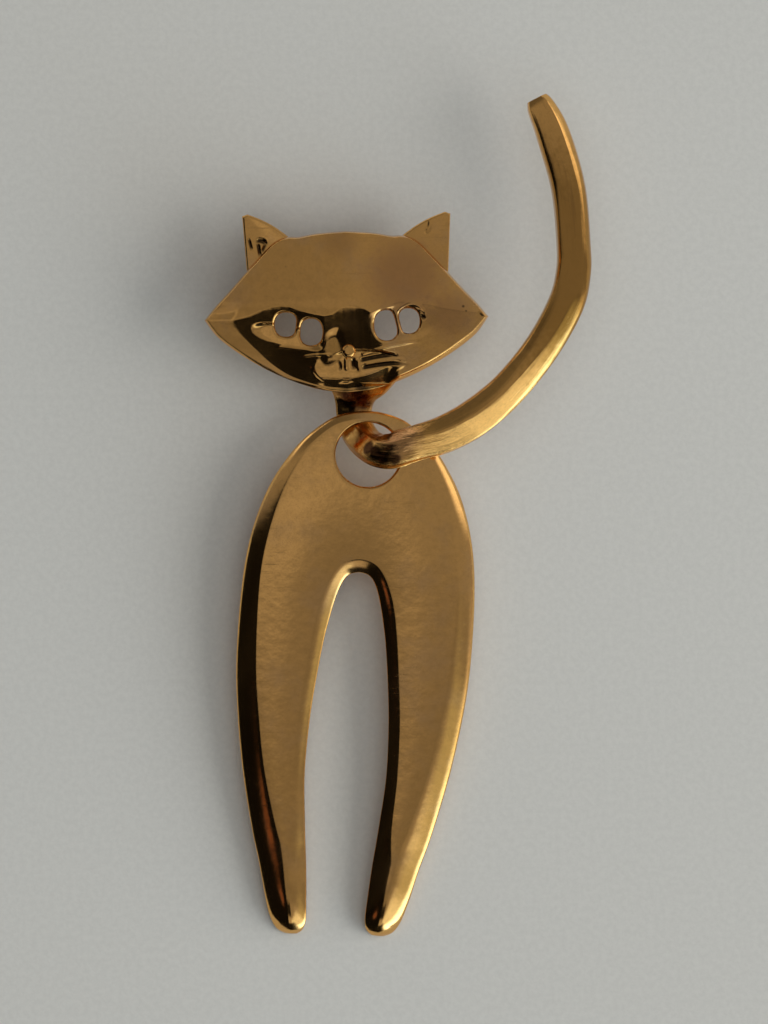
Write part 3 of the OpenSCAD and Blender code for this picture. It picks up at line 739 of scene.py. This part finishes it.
def face_mesh(face):
    """The domed shell: hollow back, rim and front, with a finer front round the features."""
    bm = bmesh.new()
    back_rows, edge_rows, front_rows = FACE_ROWS
    backs = np.linspace(0.0, RIM_SHARE, back_rows)
    walls, lifts = np.array(RIM_STEPS).T
    edges = 1 - EDGE_REACH * np.linspace(0, 1, edge_rows) ** EDGE_CROWDING
    fronts = np.concatenate([edges, np.linspace(FRONT_START, 0.0, front_rows)])
    share = np.concatenate([backs, walls, fronts])
    lift = np.concatenate([np.zeros(back_rows), lifts, np.ones(len(fronts))])
    on_back = np.arange(len(share)) < back_rows
    on_front = np.arange(len(share)) >= back_rows + len(walls)

    def place(u, v):
        k = np.rint(v * (len(share) - 1)).astype(int)
        i = u * len(face.edge)
        steps = np.arange(len(face.edge) + 1)
        x, y = (np.interp(i, steps, np.append(c, c[0])) * share[k] for c in face.edge.T)
        z = np.where(on_back[k], face.back(x, y), face.s.rim * lift[k])
        z = np.where(on_front[k], face.front(x, y), z)
        return np.column_stack([x, y, z])

    sheet(bm, FACE_TURNS, len(share) - 1, place)
    merge(bm)
    x, y, z = np.array([v.co[:] for v in bm.verts]).T
    left, right, low, high = FEATURE_BOX
    feature = (x > left) & (x < right) & (y > low) & (y < high)
    feature &= z > (face.back(x, y) + face.front(x, y)) / 2
    near = {v for v, f in zip(bm.verts, feature) if f}
    fresh = refine(bm, near)
    x, y, z = np.array([v.co[:] for v in fresh]).T
    for v, height in zip(fresh, face.front(x, y)):
        v.co.z = height
    return bm


def eye_cutter(face, matrix):
    """Four straight plugs, one for each half of each eye."""
    bm = bmesh.new()
    for index, which, sign in EYE_HALVES:
        middle, a, radius = face.eye_edge(index, which)
        ring = bmesh.ops.create_circle(bm, cap_ends=True, radius=1, segments=len(a))["verts"]
        for v in ring:
            turn = math.atan2(v.co.y, v.co.x) % (2 * math.pi)
            r = float(np.interp(turn, a, radius, period=2 * math.pi))
            v.co = (sign * (middle[0] + r * math.cos(turn)), middle[1] + r * math.sin(turn), -1)
        caps = {f for v in ring for f in v.link_faces}
        top = bmesh.ops.extrude_face_region(bm, geom=list(caps))["geom"]
        bmesh.ops.translate(bm, verts=points_of(top), vec=(0, 0, 8))
    to_metres(bm, matrix)
    bmesh.ops.recalc_face_normals(bm, faces=bm.faces)
    return as_mesh(bm, "eye_cutter")


def ear_mesh(face, index):
    """A cupped ear with a few engraved hair strokes near its foot."""
    outer, inner, tip_x = EARS[index]
    sign = 1 - 2 * index
    a, b = face.place(outer), face.place(inner)
    tip = np.array([tip_x * face.s.width / 2, CROWN_SHARE * face.s.height + face.s.ear_rise])
    bm = bmesh.new()

    def place(u, v):
        round_trip = u * 2
        q = np.where(round_trip <= 1, round_trip, 2 - round_trip)
        front = round_trip <= 1
        up = v[:, None]
        low = a + (tip - EAR_BLUNT[0] - a) * up
        high = b + (tip - EAR_BLUNT[1] - b) * up
        high = high + np.column_stack([0 * v, EAR_BOW * np.sin(math.pi * v)])
        p = low + (high - low) * q[:, None]
        x, y = sign * p[:, 0], p[:, 1]
        width = np.hypot(*(high - low).T)
        edge = np.minimum(np.minimum(q, 1 - q) * width, (1 - v) * EAR_LENGTH)
        cup = EAR_CUPS[index] * (1 - v) * np.sin(math.pi * q) ** EAR_CUP_POWER
        hair = engraved(0, x, y, EAR_MARKS)
        top = face.s.ear_thickness - cup + hair * (v < 0.99) - rounding(edge, EAR_ROUNDING)
        wall = np.where(front, face.s.ear_thickness - EAR_ROUNDING, 0)
        return np.column_stack([x, y, np.where(front & (edge > 0), top, wall)])

    sheet(bm, *EAR_GRID, place)
    close_ends(bm)
    return bm


def sweep_rows(part):
    """Middle line and section sizes of neck, curl and tail, from the hang point."""
    tail, p = part.brooch_tail, places(part)
    step = p["tail_z"] - p["neck_z"]
    stretches = [
        (NECK, tail.hook_run, tail.neck_length, tail.neck_width, tail.neck_thickness),
        (CURL, tail.hook_run, tail.hook_run, tail.width, tail.thickness),
        (TAIL, tail.reach, tail.rise, tail.width, tail.thickness),
    ]
    rows = []
    for table, run, rise, width, thickness in stretches:
        for x, y, lift, wide, thick, roll in table:
            z = p["neck_z"] + lift * step
            rows.append((x * run, y * rise, z, wide * width, thick * thickness, roll))
    return rows


def sweep_mesh(part):
    """Neck, curl and tail in one sweep, ridged below and flat-topped above."""
    rows = sweep_rows(part)
    turns, steps = SWEEP_GRID
    ridged, flat_topped = closed_curve(RIDGED, turns), closed_curve(FLAT_TOPPED, turns)
    bm = bmesh.new()

    def place(u, v):
        row = smooth_rows(rows, v)
        ahead = smooth_rows(rows, np.minimum(v + 0.002, 1))
        behind = smooth_rows(rows, np.maximum(v - 0.002, 0))
        along = ahead[:, :3] - behind[:, :3]
        along /= np.linalg.norm(along, axis=1)[:, None]
        side = np.cross(along, (0, 0, 1))
        side /= np.linalg.norm(side, axis=1)[:, None]
        up = np.cross(side, along)
        roll = np.radians(row[:, 5])[:, None]
        wide = side * np.cos(roll) + up * np.sin(roll)
        thick = up * np.cos(roll) - side * np.sin(roll)
        k = np.rint(u * turns).astype(int) % turns
        flat = ease(*SECTION_CHANGE, v)[:, None]
        q = ridged[k] * (1 - flat) + flat_topped[k] * flat
        return row[:, :3] + wide * (q[:, :1] * row[:, 3:4] / 2) + thick * (q[:, 1:] * row[:, 4:5])

    sheet(bm, turns, steps, place)
    route = bm.loops.layers.uv.new("route")
    for strip in bm.faces:
        for corner in strip.loops:
            step, turn = divmod(corner.vert.index, turns + 1)
            corner[route].uv = (turn / turns, step / steps)
    close_ends(bm)
    caps = [f for f in bm.faces if len(f.verts) > 8]
    tip = max(caps, key=lambda f: f.calc_center_median().y)
    bmesh.ops.bevel(
        bm, geom=list(tip.edges), affect="EDGES", offset=END_ROUNDING, segments=4, profile=0.5, material=-1)
    return bm


def plate_points(part, rows, u):
    """Points of the body plate's rolled section, front from the outer edge, then the back."""
    plate, drop = part.brooch_plate, places(part)["hole_drop"]
    r = rows.T
    extra = np.where(r[0] < 0, plate.leg_extra, 0)
    outer = np.column_stack([r[0] * plate.width / 2, drop - r[1] * (plate.length + extra)])
    slot_top = drop - plate.length + plate.slot_length
    slot_y = slot_top - r[3] * (plate.slot_length + extra)
    inner = np.column_stack([r[2] * plate.slot_width / 2, slot_y])
    width = np.linalg.norm(inner - outer, axis=1)
    across = (inner - outer) / width[:, None]
    flank = plate.top_depth + r[4] * (plate.flank_depth - plate.top_depth)
    deep = [flank, np.minimum(flank, plate.slot_depth + (1 - r[7]) * flank)]
    roll = [r[5] * plate.flank_roll, r[6] * plate.slot_roll]
    roll = [np.minimum(w, width * limit) for w, limit in zip(roll, ROLL_LIMITS)]
    top = -(1 - r[7]) * flank
    wall = np.minimum(plate.sheet, width * WALL_SHARE)
    hollow = [np.maximum(top + d - plate.sheet, LEAST_HOLLOW) for d in deep]
    flat = width - roll[0] - roll[1]
    crown = plate.crown * r[7] * np.minimum(flat / (plate.width / 3), 1)
    quarter = math.pi / 2
    fall = [
        plate.roll_depth * np.minimum(w / plate.flank_roll * ROLL_GAIN, 1) * share
        for w, share in zip(roll, ROLL_DEPTHS)]
    fall = [np.minimum(f, (top + d) * DEEPEST_ROLL) for f, d in zip(fall, deep)]
    bend = [np.maximum(w - wall, LEAST_BEND) for w in roll]

    def curve(t):
        """Across and down of a roll, from its foot at t = 0 to the flat at t = 1."""
        a = t * quarter
        return 1 - np.cos(a) ** (2 / ROLL_POWER), 1 - np.sin(a) ** (2 / ROLL_POWER)

    # Each stretch gives the distance in from the outer edge and the height
    def flank_wall(t):
        return 0 * width, -deep[0] + t * (top + deep[0] - fall[0])

    def flank_roll(t):
        in_roll, down_roll = curve(t)
        return roll[0] * in_roll, top - fall[0] * down_roll

    def flat_sheet(t):
        return roll[0] + t * flat, top + crown * (1 - (2 * t - 1) ** 2)

    def slot_roll(t):
        in_roll, down_roll = curve(1 - t)
        return width - roll[1] * in_roll, top - fall[1] * down_roll

    def slot_wall(t):
        return width, top - fall[1] - t * (top + deep[1] - fall[1])

    def slot_hollow(t):
        a = t * quarter
        return width - wall - bend[1] * (1 - np.cos(a)), hollow[1] * np.sin(a) - deep[1]

    def flank_hollow(t):
        a = t * quarter
        return wall + bend[0] * (1 - np.sin(a)), hollow[0] * np.cos(a) - deep[0]

    shapes = (flank_wall, flank_roll, flat_sheet, slot_roll, slot_wall, slot_hollow, flank_hollow)
    q, z = np.zeros_like(u), np.zeros_like(u)
    for low, high, shape in zip(STRETCHES, STRETCHES[1:], shapes):
        here = (u >= low) & (u <= high)
        across_at, height_at = shape(np.clip((u - low) / (high - low), 0, 1))
        q[here], z[here] = across_at[here], height_at[here]
    return np.column_stack([outer + across * q[:, None], z])


def plate_matrix(part):
    """Place of the hang hole's middle, with the plate's turn and tilt."""
    plate, p = part.brooch_plate, places(part)
    place = Matrix.Translation((p["hang"][0], p["hang"][1], p["plate_z"]))
    turn = Matrix.Rotation(p["tilt"], 4, "X") @ Matrix.Rotation(math.radians(plate.turn), 4, "Z")
    return place @ turn @ Matrix.Translation((0, -plate.hang_rise, 0))


def plate_mesh(part):
    """The body plate: rolled sections from paw to paw, finer round the hang hole."""
    full = PLATE[:0:-1] + [(-r[0], r[1], -r[2]) + r[3:] for r in PLATE]
    bm = bmesh.new()
    sheet(bm, *PLATE_GRID, lambda u, v: plate_points(part, smooth_rows(full, v), u))
    close_ends(bm)
    radius = part.brooch_plate.hole

    def outside(v):
        """Distance of a point out from the hole's edge, or none on the back."""
        return math.hypot(v.co.x, v.co.y) - radius if v.co.z > HOLE_FRONT else math.inf

    for _ in range(2):
        refine(bm, {v for v in bm.verts if -HOLE_RING[0] < outside(v) < HOLE_RING[1]})
    for v in bm.verts:
        d = outside(v)
        if d < HOLE_ROUNDING:
            v.co.z -= float(rounding(np.array(max(d, 0)), HOLE_ROUNDING))
    return bm


def hole_cutter(part, matrix):
    """A round plug for the hang hole."""
    bm = bmesh.new()
    radius = part.brooch_plate.hole
    bmesh.ops.create_cone(bm, cap_ends=True, segments=160, radius1=radius, radius2=radius, depth=12)
    to_metres(bm, matrix)
    return as_mesh(bm, "hole_cutter")


def math_operator(operation, reflected=False):
    """An operator of Field, which adds the Math node for an operation."""

    def add_node(self, other):
        pair = (other, self) if reflected else (self, other)
        return self.shader.node("ShaderNodeMath", {"operation": operation}, dict(enumerate(pair)))

    return add_node


class Field:
    """A shader socket that takes part in sums as a number does."""

    def __init__(self, shader, socket):
        self.shader, self.socket = shader, socket

    __add__ = __radd__ = math_operator("ADD")
    __mul__ = __rmul__ = math_operator("MULTIPLY")
    __sub__ = math_operator("SUBTRACT")
    __rsub__ = math_operator("SUBTRACT", reflected=True)
    __truediv__ = math_operator("DIVIDE")
    __rtruediv__ = math_operator("DIVIDE", reflected=True)
    __pow__ = math_operator("POWER")
    __rpow__ = math_operator("POWER", reflected=True)


class Shader:
    """A node tree of a material or of the room, and the few calls that fill it."""

    def __init__(self, tree):
        self.tree = tree
        self.tree.nodes.clear()

    def node(self, kind, settings=None, values=None, output=0):
        """Adds a node with its settings and the values or links of its sockets, and gives one output."""
        made = self.tree.nodes.new(kind)
        for key, value in (settings or {}).items():
            if key == "stops":
                ramp = made.color_ramp
                while len(ramp.elements) < len(value):
                    ramp.elements.new(0.5)
                for element, (at, colour) in zip(ramp.elements, value):
                    element.position, element.color = at, colour
            else:
                setattr(made, key, value)
        for key, value in (values or {}).items():
            if isinstance(value, Field):
                self.tree.links.new(value.socket, made.inputs[key])
            else:
                made.inputs[key].default_value = value
        return Field(self, made.outputs[output]) if made.outputs else None

    def coordinates(self, offset=(0, 0, 0), turn=(0, 0, 0), squash=(1, 1, 1)):
        """Object coordinates in millimetres, shifted, turned and stretched."""
        here = self.node("ShaderNodeTexCoord", output="Object")
        stretch = tuple(s / MM for s in squash)
        return self.mapping(here, stretch, offset, turn)

    def mapping(self, where, stretch, offset=(0, 0, 0), turn=(0, 0, 0)):
        """A place stretched, turned and shifted."""
        return self.node("ShaderNodeMapping", None, {0: where, 1: offset, 2: turn, 3: stretch})

    def noise(self, where, scale, detail=2.0, rough=0.5):
        """Cloudy noise from 0 to 1, mostly near a half."""
        values = {"Vector": where, "Scale": scale, "Detail": detail, "Roughness": rough}
        return self.node("ShaderNodeTexNoise", {"noise_dimensions": "3D"}, values)

    def span(self, value, low, high):
        """0 at low, 1 at high, and a smooth step between."""
        values = {0: value, 1: low, 2: high, 3: 0.0, 4: 1.0}
        return self.node("ShaderNodeMapRange", {"interpolation_type": "SMOOTHSTEP"}, values)

    def blend(self, factor, a, b):
        """Colour a where the factor is 0, b where it is 1."""
        return self.node("ShaderNodeMix", {"data_type": "RGBA"}, {0: factor, 6: a, 7: b}, output=2)

    def far(self, where, middle):
        """Distance of a place from a point."""
        values = {0: where, 1: middle}
        return self.node("ShaderNodeVectorMath", {"operation": "DISTANCE"}, values, output="Value")

    def bump(self, height, strength, depth):
        """Normals of a surface with this height, for a depth in metres."""
        values = {"Strength": strength, "Distance": depth, "Height": height}
        return self.node("ShaderNodeBump", None, values)

    def surface(self, colour, roughness, normal, metallic):
        """Ends the material with one plain shader."""
        values = {"Base Color": colour, "Metallic": metallic, "Roughness": roughness, "Normal": normal}
        made = self.node("ShaderNodeBsdfPrincipled", None, values)
        self.node("ShaderNodeOutputMaterial", None, {"Surface": made})


def opaque(colour, strength=1.0):
    """A colour, made lighter or darker, with its alpha."""
    return tuple(c * strength for c in colour[:3]) + (1.0,)


def material(name):
    """A new material and the shader that fills it."""
    made = bpy.data.materials.new(name)
    made.use_nodes = True
    return made, Shader(made.node_tree)


def scratches(s, turn, scale, shift):
    """Thin straight marks that run one way: 1 on a mark, 0 between."""
    squash = (0.02 * scale, 1.6 * scale, 1)
    lines = s.coordinates((shift, shift * 0.7, 0), (0, 0, math.radians(turn)), squash)
    patches = s.noise(s.coordinates((shift, 3 * shift, 0)), 0.22 * scale, 1.0)
    return s.span(s.noise(lines, 3.0, 2.0), 0.66, 0.7) * s.span(patches, 0.5, 0.62)


def gold(name, colour, finish, worn, stains_and_shade, drawn=0.0):
    """Polished gold plate: soft cloudy tone, worn haze, tarnish spots and painted shade, painted shade in
    the cut lines, wiping scratches and, on a drawn piece, lines that run along it."""
    made, s = material(name)
    here = s.coordinates()
    cloud = s.noise(here, 0.18, 4.0, 0.6)
    fine = s.noise(here, 1.3, 3.0, 0.6)
    marks = sum(scratches(s, *row) * strength for *row, strength in SCRATCHES)
    haze = s.span(cloud, 0.48, 0.72) * worn
    tone = s.blend(haze, opaque(colour), opaque(finish.haze))
    tone = s.blend(s.span(fine, 0.42, 0.7) * 0.3, tone, opaque(colour, 0.75))
    # Tarnish spots and spots of painted shade, each blended in over the tone
    for place, near, far, strength, spot_colour in stains_and_shade:
        spot = s.span(s.far(here, place) + (fine - 0.5) * (0.7 * far), far, near)
        tone = s.blend(spot * strength, tone, opaque(spot_colour))
    # Painted shade: the cut lines are darkened almost to black
    cut_shade = s.node("ShaderNodeAttribute", {"attribute_name": "grime"}, output="Fac")
    tone = s.blend(cut_shade * 0.95, tone, (0.035, 0.02, 0.01, 1))
    grain = s.noise(here, 6.0, 2.0, 0.6)
    tone = s.blend(marks * 0.3, tone, opaque(colour, 0.65))
    tone = s.blend(s.span(grain, 0.5, 0.72) * 0.22, tone, opaque(colour, 0.6))
    rough = finish.polish + (grain - 0.5) * 0.08 + (cloud - 0.5) * 0.1 + marks * 0.18
    rough = rough + haze * 0.12 + (fine - 0.5) * 0.04
    height = s.noise(here, 0.9, 2.0) * 0.5 + fine * 0.12 - marks * 0.05
    if drawn:
        route = s.node("ShaderNodeUVMap", {"uv_map": "route"})
        lines = s.noise(s.mapping(route, (7, 3, 1)), 4.0, 4.0, 0.65)
        waves = s.noise(s.mapping(route, (4, 9, 1)), 1.5, 1.0, 0.4)
        along = s.node("ShaderNodeSeparateXYZ", None, {0: route}, output=1)
        low = s.span(along, 0.66, 0.48)
        height = height + lines * (low * 1.6 + 0.7) * drawn + waves * (6.0 * drawn)
        in_line = s.span(lines, 0.56, 0.72) * (low * 0.3 + 0.4)
        tone = s.blend(in_line, tone, (0.3, 0.155, 0.05, 1))
    s.surface(tone, rough, s.bump(height, 0.35, 0.06 * MM), 1.0)
    return made


def pin_finish(finish):
    """Plated pin finding with a faint drawn grain."""
    made, s = material("pin_finish")
    grain = s.noise(s.coordinates(squash=(0.05, 1.2, 1.2)), 4.0, 3.0)
    cloud = s.noise(s.coordinates(), 0.6, 2.0)
    tone = s.blend(s.span(cloud, 0.35, 0.75), opaque(finish.pin), opaque(finish.pin, 0.72))
    s.surface(tone, 0.24 + grain * 0.16, s.bump(grain, 0.3, 0.03 * MM), 1.0)
    return made


def paper_finish(finish):
    """Pale, slightly mottled paper."""
    made, s = material("paper")
    mottle = s.noise(s.coordinates(), 1.6, 4.0, 0.65)
    tone = s.blend(s.span(mottle, 0.3, 0.7), opaque(finish.paper, 0.97), opaque(finish.paper, 1.03))
    s.surface(tone, 0.85, s.bump(mottle, 0.25, 0.06 * MM), 0.0)
    return made


def surroundings():
    """The room as the metal sees it: dim overhead, dark to the left, bright low down on the right
    and beyond the ears."""
    world = bpy.data.worlds.new("room")
    world.use_nodes = True
    bpy.context.scene.world = world
    s = Shader(world.node_tree)
    way = s.node("ShaderNodeTexCoord", output="Generated")
    x, y, z = (s.node("ShaderNodeSeparateXYZ", None, {0: way}, output=k) for k in range(3))
    flat = (x * x + y * y + 1e-6) ** 0.5

    def toward(degrees):
        """Cosine of the angle between a direction's bearing and a bearing from +X."""
        a = math.radians(degrees)
        return (x * math.cos(a) + y * math.sin(a)) / flat

    def sector(middle, half, edge):
        """1 within half a width of a bearing, 0 beyond its soft edge."""
        ends = (math.cos(math.radians(half + step)) for step in (edge, -edge))
        return s.span(toward(middle), *ends)

    def down(start, full):
        """0 above one angle from overhead, 1 below the next."""
        return s.span(z, math.cos(math.radians(start)), math.cos(math.radians(full)))

    band = {name: sector(*row[:3]) * down(*row[3:]) for name, row in ROOM.items()}
    near_dark = band["near_dark"] * (1 - down(*NEAR_DARK_END))
    red = band["red"] * (1 - down(*RED_END))
    glow, bright, gleam = band["glow"], band["bright"], band["gleam"]
    # The tilted plate mirrors a strip on the near side: dimmer for the legs, lighter for the
    # upper left of the body
    legs = s.span(y, -0.12, -0.168) * s.span(y, -0.32, -0.2)
    chest = s.span(y, -0.15, -0.108) * s.span(y, -0.05, -0.09) * s.span(x, 0.02, -0.035)
    light = OVERHEAD - legs * 0.085 + chest * 0.2
    light = light + glow * 0.22 + bright * 0.5 + band["low_right"] * 0.8 + band["low_far"] * 1.04
    light = light + band["window"] * 2.2 + band["near_light"] * 0.13
    light = light * (1 - band["left_shade"] * 0.26 - band["top_shade"] * 0.55)
    open_share = (1 - band["flank_dark"]) * (1 - band["chin_dark"]) * (1 - near_dark)
    light = light * (0.03 + open_share * 0.97)
    light = light * (1 - red) + red * 0.2 + gleam * 1.1
    colour = s.blend(glow, (1.0, 0.98, 0.95, 1), (1.0, 1.06, 0.86, 1))
    colour = s.blend(bright, colour, (1.0, 1.12, 1.15, 1))
    colour = s.blend(gleam, colour, (0.98, 1.3, 1.6, 1))
    colour = s.blend(red, colour, (1.0, 0.42, 0.3, 1))
    seen = s.node("ShaderNodeLightPath", output="Is Camera Ray")
    light = light * (1 - seen) + seen * SEEN
    back = s.node("ShaderNodeBackground", None, {"Color": colour, "Strength": light})
    s.node("ShaderNodeOutputWorld", None, {"Surface": back})


class BROOCH_OT_head(bpy.types.Operator):
    """Makes the domed face with its pierced eyes and nose, and the two ears"""
    bl_idname = "brooch.head"
    bl_label = "Face and ears"

    def execute(self, context):
        part = context.scene
        face = Face(part)
        matrix = head_matrix(part) @ Matrix.Translation((0, 0, face_height(part)))
        looks = part.brooch_finish
        cast = gold("cast_gold", looks.cast, looks, 0.35, FACE_STAINS_AND_SHADE)
        cast_as = ("head", ["head_and_tail"], "cast_gold", cast, matrix)
        shell = finish(face_mesh(face), "face", *cast_as)
        cut(shell, eye_cutter(face, matrix))
        shade_cuts(shell, face, matrix)
        for index, side in enumerate(("right_ear", "left_ear")):
            ear = finish(ear_mesh(face, index), side, *cast_as)
            shade_cuts(ear, face, matrix)
        finish(nose_mesh(face), "nose", *cast_as)
        return {"FINISHED"}


class BROOCH_OT_tail(bpy.types.Operator):
    """Makes the neck, its curl through the hang hole, and the tail"""
    bl_idname = "brooch.tail"
    bl_label = "Neck and tail"

    def execute(self, context):
        part = context.scene
        matrix = Matrix.Translation((*places(part)["hang"], 0))
        looks = part.brooch_finish
        cast = gold("tail_gold", looks.cast, looks, 0.0, TAIL_SHADE_AND_TINTS, drawn=1.2)
        finish(sweep_mesh(part), "neck_and_tail", "head", ["head_and_tail"], "cast_gold", cast, matrix)
        return {"FINISHED"}


class BROOCH_OT_body(bpy.types.Operator):
    """Makes the pressed body plate with its rolled rims and hang hole"""
    bl_idname = "brooch.body"
    bl_label = "Body plate"

    def execute(self, context):
        part = context.scene
        looks = part.brooch_finish
        pressed = gold("sheet_gold", looks.sheet, looks, 0.25, SHEET_STAINS)
        matrix = plate_matrix(part)
        made = plate_mesh(part)
        plate = finish(made, "body_sheet", "body", ["body_plate"], "sheet_gold", pressed, matrix)
        cut(plate, hole_cutter(part, matrix))
        return {"FINISHED"}


class BROOCH_OT_pin(bpy.types.Operator):
    """Gives the brooch pin behind the face its finish"""
    bl_idname = "brooch.pin"
    bl_label = "Brooch pin"

    def execute(self, context):
        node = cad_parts["pin_clasp"]
        made = pin_finish(context.scene.brooch_finish)
        for slot in node.material_slots:
            slot.material = made
        if not node.material_slots:
            node.data.materials.append(made)
        return {"FINISHED"}


class BROOCH_OT_stage(bpy.types.Operator):
    """Lays the paper, the light and the camera"""
    bl_idname = "brooch.stage"
    bl_label = "Paper, light and camera"

    def execute(self, context):
        bm = bmesh.new()
        bmesh.ops.create_grid(bm, x_segments=2, y_segments=2, size=PAPER_HALF)
        floor = add_object("paper", as_mesh(bm, "paper"))
        floor.data.materials.append(paper_finish(context.scene.brooch_finish))
        surroundings()
        for name, power, width, turn, drop in LIGHTS:
            lamp = bpy.data.lights.new(name, "AREA")
            lamp.shape, lamp.size = "DISK", width
            lamp.energy, lamp.color = power, LAMP_COLOUR
            place = add_object(name, lamp)
            bearing = Matrix.Rotation(math.radians(turn), 4, "Z")
            lowered = Matrix.Rotation(math.radians(drop), 4, "Y")
            place.matrix_world = bearing @ lowered @ Matrix.Translation((0, 0, LAMP_FAR))
            place.visible_glossy = False
        lens = bpy.data.cameras.new("camera")
        lens.sensor_width = SENSOR
        lens.lens = SENSOR * CAMERA_FAR / FIELD
        camera = add_object("camera", lens)
        camera.location = (*CAMERA_PLACE, FOCUS_HEIGHT + CAMERA_FAR)
        context.scene.camera = camera
        context.scene.view_settings.view_transform = "Standard"
        return {"FINISHED"}


class BROOCH_PT_panel(bpy.types.Panel):
    """Lists the brooch's pieces and sizes"""
    bl_idname = "BROOCH_PT_panel"
    bl_label = "Cat brooch"
    bl_space_type = "VIEW_3D"
    bl_region_type = "UI"
    bl_category = "Brooch"

    def draw(self, context):
        for step in STEPS:
            self.layout.operator(step.bl_idname)
        for group in GROUPS:
            box = self.layout.box()
            values = getattr(context.scene, group)
            for key in values.__annotations__:
                box.prop(values, key)


STEPS = (BROOCH_OT_stage, BROOCH_OT_head, BROOCH_OT_tail, BROOCH_OT_body, BROOCH_OT_pin)
GROUPS = {
    "brooch_face": BroochFace,
    "brooch_tail": BroochTail,
    "brooch_plate": BroochPlate,
    "brooch_finish": BroochFinish,
}


def register():
    """Adds the panel, its operators and the groups of sizes."""
    for group in (*GROUPS.values(), *STEPS, BROOCH_PT_panel):
        bpy.utils.register_class(group)
    for key, group in GROUPS.items():
        setattr(bpy.types.Scene, key, PointerProperty(type=group))


def unregister():
    """Takes them away again."""
    for key in GROUPS:
        delattr(bpy.types.Scene, key)
    for group in (BROOCH_PT_panel, *reversed(STEPS), *reversed(GROUPS.values())):
        bpy.utils.unregister_class(group)


def main():
    """Makes every piece and the stage."""
    register()
    for step in STEPS:
        name = step.bl_idname.split(".")[1]
        getattr(bpy.ops.brooch, name)()


if __name__ == "__main__":
    main()
